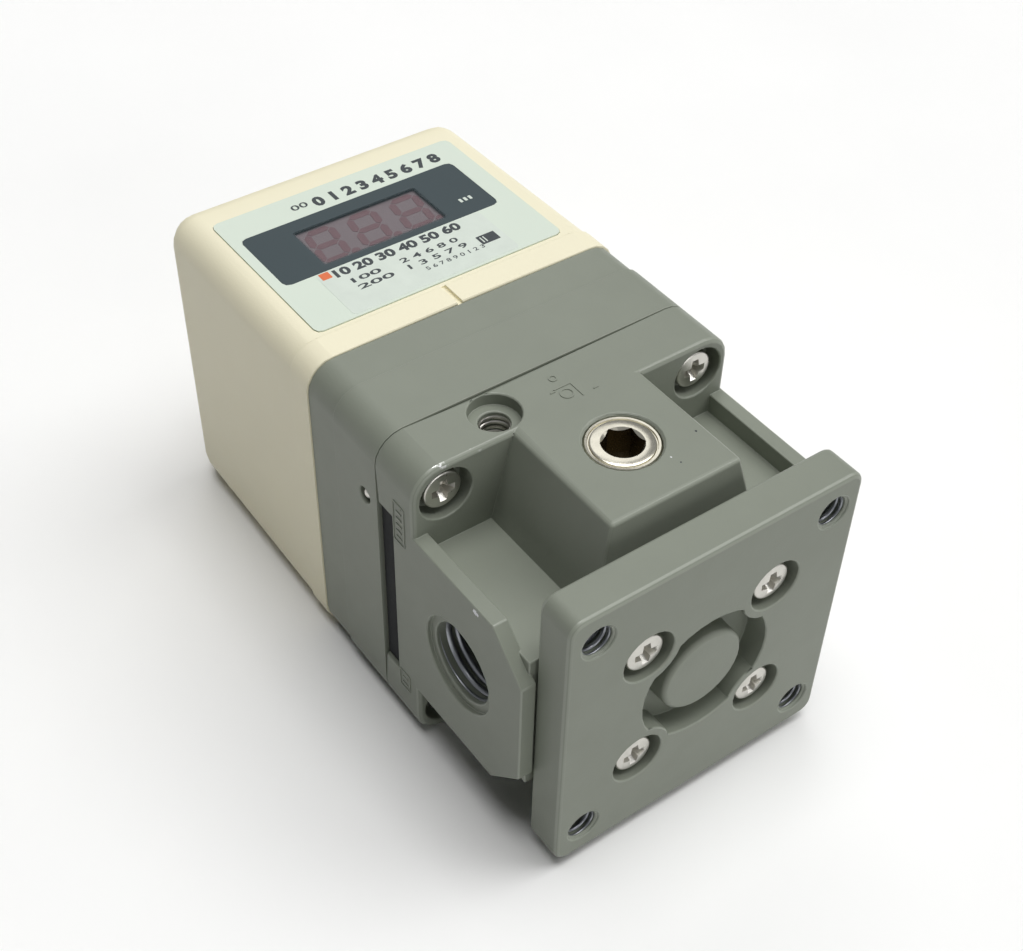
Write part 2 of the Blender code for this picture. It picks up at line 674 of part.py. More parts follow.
def port_cutters():
    """The supply, outlet, exhaust and gauge ports with the passages behind them."""
    y_port = Y_BLOCK + PORT_OFFSET
    y_gauge = Y_BLOCK + GAUGE_OFFSET
    y_supply = Y_SEAT - PASSAGE_RADIUS - SEAT
    y_outlet = (Y_OUTLET + Y_OUTLET_TOP) / 2
    steps = ((PORT_MOUTH_RADIUS, PORT_MOUTH_DEPTH), (PORT_RADIUS, PORT_DEPTH))
    gauge = PLUG_RADIUS + SEAT
    bottom = HALF - PORT_DEPTH
    well = BODY_WIDTH - GAUGE_DEPTH + LAP
    y_gauge_passage = Y_OUTLET + GAUGE_PASSAGE_RADIUS + SEAT
    return [
        bore("supply_port", (-HALF, y_port, AXIS_Z), (-1, 0, 0), steps, PORT_MOUTH_DEPTH),
        bore("outlet_port", (HALF, y_port, AXIS_Z), (1, 0, 0), steps, PORT_MOUTH_DEPTH),
        bore("exhaust_port", (0.0, y_port, 0.0), (0, 0, -1), steps, PORT_MOUTH_DEPTH),
        bore("gauge_port", (0.0, y_gauge, BODY_WIDTH), (0, 0, 1),
             ((gauge + GAUGE_MOUTH, GAUGE_MOUTH), (gauge, GAUGE_DEPTH)), PORT_MOUTH_DEPTH),
        drill("supply_passage", (-bottom - LAP, y_supply, AXIS_Z), (-STEM_RADIUS, y_supply, AXIS_Z),
              PASSAGE_RADIUS),
        drill("outlet_passage", (bottom + LAP, y_outlet, AXIS_Z), (STEM_RADIUS, y_outlet, AXIS_Z),
              PASSAGE_RADIUS),
        drill("gauge_passage", (0.0, y_gauge_passage, well), (0.0, y_gauge_passage, AXIS_Z),
              GAUGE_PASSAGE_RADIUS),
        drill("exhaust_passage", (0.0, Y_BLOCK, AXIS_Z - VALVE_BORE_RADIUS + OVER),
              (0.0, y_port - PORT_RADIUS + OVER, PORT_DEPTH - OVER), EXHAUST_PASSAGE_RADIUS),
    ]


def body():
    """The die-cast port body: head, core, flanges, bosses, bores and screw holes."""
    casting = block("body", (-HALF, 0.0, -HALF), (HALF, HEAD_LENGTH, HALF), GREY_PAINT,
                    square_rounds(BODY_CORNER), (0.0, Y_HEAD, AXIS_Z))
    soften(casting, EDGE_ROUND)
    reach = PLATE_WIDTH / 2 + SEAT + LAP
    core = block("port_core", (-reach, 0.0, -CORE_HALF), (reach, BLOCK_LENGTH + LAP, CORE_HALF),
                 location=(0.0, Y_BLOCK, AXIS_Z))
    join(casting, core, flange("supply_flange", -1), flange("outlet_flange", 1),
         boss("front_boss", 1), boss("back_boss", -1))
    cut(casting, valve_bore(), *port_cutters())
    for side in (-1, 1):
        x = sorted((side * (HALF + OVER), side * (HALF - VENT_SLOT_DEPTH)))
        cut(casting, block(f"vent_slot_{side + 1}", (x[0], -VENT_SLOT_HEIGHT, -VENT_SLOT_LENGTH / 2),
                           (x[1], OVER, VENT_SLOT_LENGTH / 2), location=(0.0, Y_FACE, AXIS_Z)))
    cut(casting, bore("side_port", (SIDE_PORT_X, Y_FACE - SIDE_PORT_FROM_FACE, BODY_WIDTH), (0, 0, 1),
                      ((SIDE_PORT_SINK_RADIUS, SIDE_PORT_SINK_DEPTH),
                       (SIDE_PORT_RADIUS, SIDE_PORT_DEPTH))))
    for number, (x, z) in enumerate(four_corners(CORNER_SCREW_SPREAD, CORNER_SCREW_SPREAD)):
        cut(casting, bore(f"corner_screw_hole_{number}", (x, Y_HEAD, z), -ALONG,
                          ((COUNTERBORE_RADIUS, COUNTERBORE_DEPTH), (SHANK_HOLE, HEAD_LENGTH + OVER))))
    for number, (x, z) in enumerate(four_corners(BASE_SCREW_SPREAD, BASE_SCREW_SPREAD)):
        cut(casting, drill(f"block_tapping_{number}", (x, Y_BLOCK - OVER, z),
                           (x, base_screw_tip() + SEAT, z), SHANK_HOLE))
    groove = PLATE_RING_SECTION + SEAT
    cut(casting, turned("plate_ring_groove", ring_profile(PLATE_RING_RADIUS - groove,
                                                          PLATE_RING_RADIUS + groove, -OVER,
                                                          PLATE_RING_SECTION + groove),
                        None, (0.0, Y_BLOCK, AXIS_Z), closed=True))
    seal_ring("plate_ring", PLATE_RING_RADIUS, PLATE_RING_SECTION, Y_BLOCK + PLATE_RING_SECTION)


def gauge_plug():
    """The socket plug of the gauge port."""
    profile = [(0.0, 0.0), (PLUG_RADIUS - PLUG_CHAMFER, 0.0), (PLUG_RADIUS, -PLUG_CHAMFER),
               (PLUG_RADIUS, -PLUG_LENGTH), (0.0, -PLUG_LENGTH)]
    plug = turned("gauge_port_plug", profile, NICKEL,
                  (0.0, Y_BLOCK + GAUGE_OFFSET, BODY_WIDTH - PLUG_SINK), (0, 0, 1))
    socket = hexagon("plug_socket", HEX_ACROSS, -HEX_DEPTH, OVER, None,
                     (0.0, Y_BLOCK + GAUGE_OFFSET, BODY_WIDTH - PLUG_SINK))
    socket.rotation_euler = (math.pi / 2, 0.0, 0.0)
    cut(plug, socket)


def valve_guide():
    """The guide of the supply valve, with grooves for its outer and inner rings."""
    outer = VALVE_BORE_RADIUS - SEAT
    inner = STEM_RADIUS + SEAT
    middle = GUIDE_THICKNESS / 2
    ring = GUIDE_RING_SECTION + SEAT
    stem = STEM_RING_SECTION + SEAT
    outer_floor = outer - GUIDE_RING_SECTION - ring
    inner_floor = inner + STEM_RING_SECTION + stem
    profile = [(inner, GUIDE_THICKNESS), (outer, GUIDE_THICKNESS), (outer, middle + ring),
               (outer_floor, middle + ring), (outer_floor, middle - ring), (outer, middle - ring),
               (outer, 0.0), (inner, 0.0), (inner, middle - stem), (inner_floor, middle - stem),
               (inner_floor, middle + stem), (inner, middle + stem)]
    turned("valve_guide", profile, BRASS, (0.0, Y_GUIDE, AXIS_Z), closed=True, steps=INNER_STEPS)
    seal_ring("guide_ring", outer - GUIDE_RING_SECTION, GUIDE_RING_SECTION, Y_GUIDE + middle)
    seal_ring("stem_ring", inner + STEM_RING_SECTION, STEM_RING_SECTION, Y_GUIDE + middle)


def supply_valve():
    """The tubular supply valve with its rubber face ring and return spring."""
    y_ring = Y_SEAT - SEAT - FACE_RING_THICKNESS
    y_disc = y_ring - SEAT - DISC_THICKNESS
    tail = Y_GUIDE - STEM_TAIL
    profile = [(STEM_BORE, Y_TIP), (STEM_RADIUS, Y_TIP), (STEM_RADIUS, y_disc + DISC_THICKNESS),
               (DISC_RADIUS, y_disc + DISC_THICKNESS), (DISC_RADIUS, y_disc), (STEM_RADIUS, y_disc),
               (STEM_RADIUS, tail), (STEM_BORE, tail)]
    turned("supply_valve", profile, BRASS, (0.0, 0.0, AXIS_Z), closed=True, steps=INNER_STEPS)
    turned("valve_face_ring", ring_profile(STEM_RADIUS + SEAT, FACE_RING_RADIUS, 0.0,
                                           FACE_RING_THICKNESS),
           RUBBER, (0.0, y_ring, AXIS_Z), closed=True)
    low = Y_GUIDE + GUIDE_THICKNESS + SEAT + SPRING_WIRE
    high = y_disc - SEAT - SPRING_WIRE
    coil_spring("valve_spring", SPRING_RADIUS, SPRING_WIRE, SPRING_TURNS, low, high)


def coil_spring(name, radius, wire, turns, low, high):
    """A coil spring along the axis of the stack, between two stations."""
    per_turn = 10
    count = int(per_turn * turns) + 1
    curve = bpy.data.curves.new(name, "CURVE")
    curve.dimensions = "3D"
    curve.bevel_depth = wire
    curve.bevel_resolution = 1
    curve.use_fill_caps = True
    line = curve.splines.new("POLY")
    line.points.add(count - 1)
    for i, point in enumerate(line.points):
        angle = 2 * math.pi * i / per_turn
        share = i / (count - 1)
        point.co = (radius * math.cos(angle), low + (high - low) * share,
                    AXIS_Z + radius * math.sin(angle), 1.0)
    wire_form = bpy.data.objects.new(name + "_wire", curve)
    bpy.context.scene.collection.objects.link(wire_form)
    mesh = settled(wire_form)
    form = bmesh.new()
    form.from_mesh(mesh)
    bmesh.ops.remove_doubles(form, verts=form.verts, dist=0.000001)
    form.to_mesh(mesh)
    form.free()
    place(name, mesh, STEEL)


def diaphragm():
    """The rolling diaphragm: a clamped rim, one loop and a flat middle."""
    half = DIAPHRAGM_THICKNESS / 2
    rim = (RIM_DEPTH + SEAT) / 2 - SEAT
    upper = LOOP_RADIUS - half
    lower = LOOP_RADIUS + half
    profile = [(STUD_RADIUS + SEAT, half), (LOOP_MIDDLE - upper, half)]
    profile += arc(LOOP_MIDDLE, 0.0, upper, 180, 360, 6)
    profile += [(LOOP_MIDDLE + upper, rim), (RIM_RADIUS, rim), (RIM_RADIUS, -rim)]
    rim_angle = 360 - math.degrees(math.asin(rim / lower))
    flat_angle = 180 + math.degrees(math.asin(half / lower))
    profile += arc(LOOP_MIDDLE, 0.0, lower, rim_angle, flat_angle, 6)
    profile.append((STUD_RADIUS + SEAT, -half))
    turned("diaphragm", profile, RUBBER, (0.0, Y_DIAPHRAGM, AXIS_Z), closed=True)


def diaphragm_plates():
    """The plates, stud, exhaust seat pad and nut that clamp the middle of the diaphragm."""
    top = -DIAPHRAGM_THICKNESS / 2 - SEAT
    bottom = top - LOWER_PLATE_THICKNESS
    pad_low = Y_TIP + SEAT - Y_DIAPHRAGM
    pad_top = pad_low + PAD_THICKNESS
    upper = DIAPHRAGM_THICKNESS / 2 + SEAT
    nut_low = upper + UPPER_PLATE_THICKNESS + SEAT
    nut_top = nut_low + STUD_NUT_HEIGHT
    profile = [(0.0, nut_top), (STUD_RADIUS, nut_top), (STUD_RADIUS, top), (LOWER_PLATE_RADIUS, top),
               (LOWER_PLATE_RADIUS, bottom), (HUB_BOSS_RADIUS, bottom),
               (HUB_BOSS_RADIUS, bottom - HUB_BOSS_LENGTH), (PAD_RADIUS + SEAT, bottom - HUB_BOSS_LENGTH),
               (PAD_RADIUS + SEAT, pad_top + SEAT), (0.0, pad_top + SEAT)]
    at = (0.0, Y_DIAPHRAGM, AXIS_Z)
    turned("lower_plate", profile, ALUMINIUM, at)
    turned("exhaust_seat_pad", disc_profile(PAD_RADIUS, pad_low, pad_top), RUBBER, at)
    turned("upper_plate", ring_profile(STUD_RADIUS + SEAT, UPPER_PLATE_RADIUS, upper,
                                       upper + UPPER_PLATE_THICKNESS), ALUMINIUM, at, closed=True)
    nut = hexagon("stud_nut", STUD_NUT_ACROSS, nut_low, nut_top, PLATED, at)
    cut(nut, turned("stud_nut_bore", disc_profile(STUD_RADIUS + SEAT, nut_low - OVER, nut_top + OVER),
                    None, at))


def bonnet():
    """The band above the diaphragm, with the pilot chamber, its ball and its gasket."""
    band = block("bonnet", (-HALF, 0.0, -HALF), (HALF, BONNET_LENGTH, HALF), GREY_PAINT,
                 square_rounds(BODY_CORNER), (0.0, Y_BONNET, AXIS_Z))
    soften(band, EDGE_ROUND / 2)
    at = (0.0, Y_BONNET, AXIS_Z)
    cut(band, turned("pilot_chamber", disc_profile(DIAPHRAGM_BORE, -OVER, PILOT_DEPTH), None, at))
    for number, (x, z) in enumerate(four_corners(CORNER_SCREW_SPREAD, CORNER_SCREW_SPREAD)):
        cut(band, drill(f"bonnet_tapping_{number}", (x, Y_BONNET - OVER, z),
                        (x, corner_screw_tip() + SEAT, z), SHANK_HOLE))
    y_top = Y_BONNET + BONNET_LENGTH
    for number, (x, z) in enumerate(four_corners(BLOCK_SCREW_SPREAD_X, BLOCK_SCREW_SPREAD_Z)):
        cut(band, drill(f"bonnet_upper_tapping_{number}", (x, y_top + OVER, z),
                        (x, block_screw_tip() - SEAT, z), SHANK_HOLE))
    pocket = GASKET_THICKNESS + SEAT
    cut(band, block("gasket_pocket", (-GASKET_WIDTH / 2 - SEAT, -pocket, -GASKET_HEIGHT / 2 - SEAT),
                    (GASKET_WIDTH / 2 + SEAT, OVER, GASKET_HEIGHT / 2 + SEAT),
                    location=(0.0, y_top, AXIS_Z)))
    gasket = block("pilot_gasket", (-GASKET_WIDTH / 2, SEAT - pocket, -GASKET_HEIGHT / 2),
                   (GASKET_WIDTH / 2, SEAT - pocket + GASKET_THICKNESS, GASKET_HEIGHT / 2), RUBBER,
                   location=(0.0, y_top, AXIS_Z))
    for number in (-1, 0, 1):
        x = number * PILOT_HOLE_SPREAD
        cut(band, drill(f"pilot_hole_{number + 1}", (x, y_top + OVER, AXIS_Z),
                        (x, Y_BONNET + PILOT_DEPTH - OVER, AXIS_Z), PILOT_HOLE_RADIUS))
        cut(gasket, drill(f"gasket_hole_{number + 1}", (x, y_top - pocket - OVER, AXIS_Z),
                          (x, y_top + OVER, AXIS_Z), PILOT_HOLE_RADIUS + SEAT))
    y_ball = Y_BONNET + BALL_FROM_FACE
    z_ball = AXIS_Z + BALL_RISE
    cut(band, bore("ball_seat", (-HALF, y_ball, z_ball), (-1, 0, 0),
                   ((BALL_RADIUS + SEAT, 2 * BALL_RADIUS + SEAT),)))
    sphere = arc(0.0, 0.0, BALL_RADIUS, 90, -90, 6)
    turned("ball_plug", sphere, PLATED, (SEAT / 2 + BALL_RADIUS - HALF, y_ball, z_ball), (-1, 0, 0),
           steps=COARSE_STEPS)


def valve_block():
    """The band that carries the pilot valves, the sensor, the boards and the cover's posts."""
    half = VALVE_BLOCK_WIDTH / 2
    y_top = Y_COVER - SEAT
    band = block("valve_block", (-half, 0.0, -half), (half, VALVE_BLOCK_LENGTH, half), GREY_PAINT,
                 square_rounds(BODY_CORNER), (0.0, Y_VALVES, AXIS_Z))
    soften(band, EDGE_ROUND / 2)
    for number, (x, z) in enumerate(four_corners(BLOCK_SCREW_SPREAD_X, BLOCK_SCREW_SPREAD_Z)):
        cut(band, bore(f"block_screw_hole_{number}", (x, y_top, z), ALONG,
                       ((COUNTERBORE_RADIUS, SCREW_HEAD_HEIGHT + SEAT),
                        (SHANK_HOLE, VALVE_BLOCK_LENGTH + OVER)), fineness=COARSE_STEPS))
    for number in (-1, 0, 1):
        x = number * PILOT_HOLE_SPREAD
        cut(band, drill(f"block_pilot_hole_{number + 1}", (x, Y_VALVES - OVER, AXIS_Z),
                        (x, y_top + OVER, AXIS_Z), PILOT_HOLE_RADIUS))
    slot = BOARD_THICKNESS / 2 + SEAT
    reach = CONTROL_BOARD_WIDTH / 2 + SEAT
    cut(band, block("board_slot", (-reach, -BOARD_SLOT_DEPTH, -slot), (reach, OVER, slot),
                    location=(0.0, y_top, CONTROL_BOARD_HEIGHT)))
    for number, (x, z) in enumerate(side_pair(COVER_SCREW_SPREAD)):
        cut(band, drill(f"post_socket_{number}", (x, y_top + OVER, z),
                        (x, y_top - POST_STUD_LENGTH - SEAT, z), SHANK_HOLE))


def solenoid(name, x):
    """A sealed pilot valve: base block, coil and terminal block."""
    half = SOLENOID_WIDTH / 2
    valve = block(name, (-half, 0.0, -SOLENOID_BASE_HEIGHT / 2),
                  (half, SOLENOID_BASE_LENGTH, SOLENOID_BASE_HEIGHT / 2), BLACK_PLASTIC,
                  location=(x, Y_COVER, AXIS_Z))
    coil = turned(f"{name}_coil", disc_profile(COIL_RADIUS, SOLENOID_BASE_LENGTH - LAP, SOLENOID_LENGTH),
                  None, (x, Y_COVER, AXIS_Z))
    terminals = block(f"{name}_terminals", (-half / 2, SOLENOID_BASE_LENGTH - LAP, COIL_RADIUS / 2),
                      (half / 2, SOLENOID_LENGTH / 2, SOLENOID_BASE_HEIGHT / 2 - LAP),
                      location=(x, Y_COVER, AXIS_Z))
    join(valve, coil, terminals)


def pressure_sensor():
    """The sensor between the pilot valves, with its round cap."""
    half = SENSOR_WIDTH / 2
    sensor = block("pressure_sensor", (-half, 0.0, -half), (half, SENSOR_LENGTH, half), BLACK_PLASTIC,
                   location=(0.0, Y_COVER, AXIS_Z))
    join(sensor, turned("sensor_cap", disc_profile(SENSOR_CAP_RADIUS, SENSOR_LENGTH - LAP,
                                                   SENSOR_LENGTH + SENSOR_CAP_LENGTH),
                        None, (0.0, Y_COVER, AXIS_Z)))


def tapered_block(name, low_y, high_y, half, corner, end_round, finish=None):
    """A square block that closes in towards its far end, with round corners and end edges."""
    form = bmesh.new()
    bmesh.ops.create_cube(form, size=2.0)
    for vert in form.verts:
        far = vert.co.y > 0
        reach = half - (COVER_DRAFT if far else 0.0)
        vert.co.x = math.copysign(reach, vert.co.x)
        vert.co.z = math.copysign(reach, vert.co.z)
        vert.co.y = high_y if far else low_y
    bmesh.ops.bevel(form, geom=[edge for edge in form.edges if is_along(edge, 1)], offset=corner,
                    segments=CORNER_STEPS, profile=0.5, affect="EDGES", clamp_overlap=True)
    ends = [edge for edge in form.edges if min(vert.co.y for vert in edge.verts) > high_y - LAP]
    bmesh.ops.bevel(form, geom=ends, offset=end_round, segments=CORNER_STEPS - 1, profile=0.5,
                    affect="EDGES", clamp_overlap=True)
    return place(name, mesh_from(name, form), finish, (0.0, Y_COVER, AXIS_Z))


def face_frame():
    """An empty on the cover's drafted front face at the label's middle, for what lies in it."""
    run = COVER_LENGTH - STRIP_LENGTH
    frame = bpy.data.objects.new("front_face", None)
    bpy.data.collections[PARTS].objects.link(frame)
    frame.location = (0.0, label_station(), front_height(label_station()))
    frame.rotation_euler = (-math.atan2(COVER_DRAFT, run), 0.0, 0.0)
    return frame


def label_station():
    """Station of the label's middle."""
    return Y_CREASE + LABEL_FROM_CREASE + LABEL_LENGTH / 2


def front_height(station):
    """Height of the cover's front face at a station."""
    share = (station - Y_CREASE) / (COVER_LENGTH - STRIP_LENGTH)
    return BODY_WIDTH - CREASE - COVER_DRAFT * share


def on_face(obj, frame):
    """Parent a piece to the front face, with its location counted from there."""
    obj.parent = frame
    return obj


def cover(frame):
    """The moulded cover: a shell with a rim strip, a crease, pockets, bosses and holes."""
    shell = block("cover", (-HALF, 0.0, -HALF), (HALF, STRIP_LENGTH, HALF), CREAM,
                  square_rounds(BODY_CORNER), (0.0, Y_COVER, AXIS_Z))
    soften(shell, EDGE_ROUND / 2)
    half = HALF - CREASE
    join(shell, tapered_block("cover_main", STRIP_LENGTH - LAP, COVER_LENGTH, half, BODY_CORNER,
                              COVER_END_ROUND))
    inner = BODY_CORNER - COVER_WALL
    cut(shell, tapered_block("cover_hollow", -OVER, COVER_LENGTH - COVER_END_WALL, half - COVER_WALL,
                             inner, COVER_END_ROUND - COVER_WALL))
    for number, (x, z) in enumerate(side_pair(COVER_SCREW_SPREAD)):
        join(shell, prism(f"cover_boss_{number}", MIDDLE_STEPS, COVER_BOSS_RADIUS, -COVER_BOSS_DEPTH,
                          -COVER_END_WALL + LAP, None, (x, Y_END, z)))
    for number, (x, z) in enumerate(side_pair(COVER_SCREW_SPREAD)):
        cut(shell, bore(f"cover_screw_hole_{number}", (x, Y_END, z), ALONG,
                        ((COVER_BORE_RADIUS, SCREW_HEAD_HEIGHT + SEAT),
                         (SHANK_HOLE, COVER_BOSS_DEPTH + OVER))))
    cut(shell, drill("connector_hole", (0.0, Y_END + OVER, CONNECTOR_RISE),
                     (0.0, Y_END - COVER_END_WALL - OVER, CONNECTOR_RISE), CONNECTOR_RADIUS + SEAT))
    x = KEY_GROOVE_X
    cut(shell, block("key_groove", (x - KEY_GROOVE_WIDTH / 2, -OVER, -KEY_GROOVE_DEPTH),
                     (x + KEY_GROOVE_WIDTH / 2, STRIP_LENGTH, OVER),
                     location=(0.0, Y_COVER, BODY_WIDTH)))
    cut(shell, face_pocket("label_pocket", frame, (0.0, 0.0), (LABEL_WIDTH, LABEL_LENGTH),
                           LABEL_PROUD - LABEL_THICKNESS - SEAT),
        face_pocket("window_pocket", frame, (WINDOW_X, WINDOW_SHIFT), (WINDOW_WIDTH, WINDOW_LENGTH),
                    LABEL_PROUD - WINDOW_THICKNESS - SEAT),
        face_pocket("display_opening", frame, (DISPLAY_X, DISPLAY_SHIFT),
                    (DISPLAY_WIDTH, DISPLAY_LENGTH), -COVER_WALL - 2 * OVER))


def face_pocket(name, frame, middle, size, floor):
    """The cutter of a pocket in the front face, one clearance wider than what it holds."""
    x, y = middle
    reach_x, reach_y = size[0] / 2 + SEAT, size[1] / 2 + SEAT
    return on_face(block(name, (x - reach_x, y - reach_y, floor), (x + reach_x, y + reach_y, OVER),
                         None, ((lambda edge: is_along(edge, 2), LABEL_CORNER, 2),)), frame)


def face_sheet(name, frame, middle, size, thickness, finish):
    """A flat piece that lies in a pocket of the front face."""
    x, y = middle
    reach_x, reach_y = size[0] / 2, size[1] / 2
    return on_face(block(name, (x - reach_x, y - reach_y, LABEL_PROUD - thickness),
                         (x + reach_x, y + reach_y, LABEL_PROUD), finish,
                         ((lambda edge: is_along(edge, 2), LABEL_CORNER, 2),)), frame)


def label_and_window(frame):
    """The label sheet with its cut-out and the smoked window in it."""
    label = face_sheet("label", frame, (0.0, 0.0), (LABEL_WIDTH, LABEL_LENGTH), LABEL_THICKNESS,
                       LABEL_FILM)
    cut(label, face_pocket("label_cut_out", frame, (WINDOW_X, WINDOW_SHIFT),
                           (WINDOW_WIDTH, WINDOW_LENGTH), -OVER))
    face_sheet("display_window", frame, (WINDOW_X, WINDOW_SHIFT), (WINDOW_WIDTH, WINDOW_LENGTH),
               WINDOW_THICKNESS, SMOKED)


def display_top():
    """Height of the display's face, close under the window."""
    window_floor = LABEL_PROUD - WINDOW_THICKNESS - SEAT
    return front_height(label_station() + DISPLAY_SHIFT) + window_floor


def boards():
    """The control board in its slot, the display board and display, and the link between them."""
    y_display = label_station() + DISPLAY_SHIFT
    y_start = Y_COVER - BOARD_SLOT_DEPTH
    y_stop = y_start + CONTROL_BOARD_LENGTH
    board_top = CONTROL_BOARD_HEIGHT + BOARD_THICKNESS / 2
    half = CONTROL_BOARD_WIDTH / 2
    block("control_board", (-half, y_start, board_top - BOARD_THICKNESS), (half, y_stop, board_top),
          BOARD)
    top = display_top()
    under = top - DISPLAY_HEIGHT - SEAT
    low = under - BOARD_THICKNESS
    reach_x, reach_y = DISPLAY_WIDTH / 2, DISPLAY_LENGTH / 2
    block("led_display", (DISPLAY_X - reach_x, y_display - reach_y, top - DISPLAY_HEIGHT),
          (DISPLAY_X + reach_x, y_display + reach_y, top), LED_FACE)
    block("display_board", (-DISPLAY_BOARD_WIDTH / 2, y_display - DISPLAY_BOARD_LENGTH / 2, low),
          (DISPLAY_BOARD_WIDTH / 2, y_display + DISPLAY_BOARD_LENGTH / 2, under), BOARD)
    y_link = y_stop - LINK_FROM_EDGE
    block("board_link", (-LINK_WIDTH / 2, y_link - LINK_THICKNESS / 2, board_top + SEAT),
          (LINK_WIDTH / 2, y_link + LINK_THICKNESS / 2, low - SEAT), BLACK_PLASTIC)
    y_parts = y_start + CONTROL_BOARD_LENGTH / 3
    form = turned("capacitor_form", disc_profile(CAPACITOR_RADIUS, 0.0, CAPACITOR_HEIGHT), None,
                  (0.0, 0.0, 0.0), (0, 0, 1), steps=COARSE_STEPS)
    copies("board_capacitor", settled(form), SLEEVE, y_parts,
           side_pair(half / 2 + CAPACITOR_RADIUS, board_top + SEAT))
    chip = CHIP_WIDTH / 2
    block("control_chip", (-chip, y_parts - chip, board_top + SEAT),
          (chip, y_parts + chip, board_top + SEAT + CHIP_HEIGHT), BLACK_PLASTIC)


def cover_posts():
    """Two hexagonal posts between the valve block and the cover's bosses, and their screws."""
    length = Y_END - COVER_BOSS_DEPTH - SEAT - Y_COVER
    post = hexagon("post_form", POST_ACROSS, 0.0, length)
    stud = turned("post_stud", disc_profile(SCREW_SHANK_RADIUS, -POST_STUD_LENGTH, LAP), None)
    hole = drill("post_tapping", (0.0, length + OVER, 0.0),
                 (0.0, Y_END - Y_COVER - SCREW_HEAD_HEIGHT - COVER_SCREW_LENGTH - SEAT, 0.0), SHANK_HOLE)
    join(post, stud)
    cut(post, hole)
    mesh = settled(post)
    for helper in (stud, hole):
        bpy.data.objects.remove(helper, do_unlink=True)
    copies("cover_post", mesh, PLATED, Y_COVER, side_pair(COVER_SCREW_SPREAD))
    screw_set("cover_screw", COVER_SCREW_LENGTH, Y_END, side_pair(COVER_SCREW_SPREAD), backwards=True)


def connector():
    """The round electrical inlet: shell with a flange, nut, insert and contact pins."""
    at = (0.0, Y_END, CONNECTOR_RISE)
    nut_top = -COVER_END_WALL - SEAT
    nut_low = nut_top - CONNECTOR_NUT_THICKNESS
    tail = nut_low - CONNECTOR_TAIL
    inner = CONNECTOR_RADIUS - CONNECTOR_WALL
    flange_top = SEAT + CONNECTOR_FLANGE_THICKNESS
    profile = [(inner, CONNECTOR_REACH), (CONNECTOR_RADIUS, CONNECTOR_REACH),
               (CONNECTOR_RADIUS, flange_top), (CONNECTOR_FLANGE_RADIUS, flange_top),
               (CONNECTOR_FLANGE_RADIUS, SEAT), (CONNECTOR_RADIUS, SEAT), (CONNECTOR_RADIUS, tail),
               (inner, tail)]
    turned("connector_shell", profile, PLATED, at, closed=True, steps=FINE_STEPS)
    nut = hexagon("connector_nut", CONNECTOR_NUT_ACROSS, nut_low, nut_top, PLATED, at)
    cut(nut, turned("connector_nut_bore", disc_profile(CONNECTOR_RADIUS + SEAT, nut_low - OVER,
                                                       nut_top + OVER), None, at))
    insert_top = tail + INSERT_LENGTH
    insert = turned("connector_insert", disc_profile(inner - SEAT, tail, insert_top), BLACK_PLASTIC, at)
    places = four_corners(PIN_CIRCLE / math.sqrt(2), PIN_CIRCLE / math.sqrt(2), CONNECTOR_RISE)
    for number, (x, z) in enumerate(places):
        cut(insert, drill(f"pin_hole_{number}", (x, Y_END + tail - OVER, z),
                          (x, Y_END + insert_top + OVER, z), PIN_RADIUS + SEAT))
    pin = turned("pin_form", disc_profile(PIN_RADIUS, tail - PIN_TAIL, insert_top + PIN_REACH), None,
                 steps=10)
    copies("connector_pin", settled(pin), GOLD, Y_END, places)


def build():
    """Make every piece of the regulator."""
    clear_scene()
    end_plate()
    screw_set("base_screw", BASE_SCREW_LENGTH, Y_PLATE + SCREW_SINK,
              four_corners(BASE_SCREW_SPREAD, BASE_SCREW_SPREAD))
    body()
    screw_set("corner_screw", CORNER_SCREW_LENGTH, Y_HEAD + SCREW_SINK,
              four_corners(CORNER_SCREW_SPREAD, CORNER_SCREW_SPREAD))
    gauge_plug()
    valve_guide()
    supply_valve()
    diaphragm()
    diaphragm_plates()
    bonnet()
    valve_block()
    screw_set("valve_block_screw", BLOCK_SCREW_LENGTH, Y_COVER - SEAT,
              four_corners(BLOCK_SCREW_SPREAD_X, BLOCK_SCREW_SPREAD_Z), backwards=True)
    solenoid("supply_solenoid", -PILOT_HOLE_SPREAD)
    solenoid("exhaust_solenoid", PILOT_HOLE_SPREAD)
    pressure_sensor()
    frame = face_frame()
    cover(frame)
    label_and_window(frame)
    boards()
    cover_posts()
    connector()


build()
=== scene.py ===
"""Looks of the electro pneumatic regulator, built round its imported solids.

The castings are grey enamelled die castings, the cover is a cream moulding with a film label and a
smoked window, and the screws are bright zinc-plated steel. Lengths are in metres.
"""

import json
import math

import bmesh
import bpy
from mathutils import Euler, Matrix, Vector


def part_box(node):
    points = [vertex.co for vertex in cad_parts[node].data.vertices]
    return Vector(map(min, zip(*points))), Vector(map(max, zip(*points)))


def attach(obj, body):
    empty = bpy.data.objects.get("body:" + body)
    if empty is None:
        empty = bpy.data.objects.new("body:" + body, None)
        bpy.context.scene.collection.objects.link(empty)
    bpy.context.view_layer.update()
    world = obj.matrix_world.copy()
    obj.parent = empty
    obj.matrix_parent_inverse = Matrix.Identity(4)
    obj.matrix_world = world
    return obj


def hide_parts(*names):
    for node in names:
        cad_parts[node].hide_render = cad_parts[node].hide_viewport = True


bl_info = {
    "name": "Electro pneumatic regulator",
    "version": (1, 0, 0),
    "blender": (4, 5, 0),
    "location": "View3D > Sidebar > Regulator",
    "description": "Builds the finishes, fine pieces and studio of a small pneumatic regulator",
    "category": "Object",
}

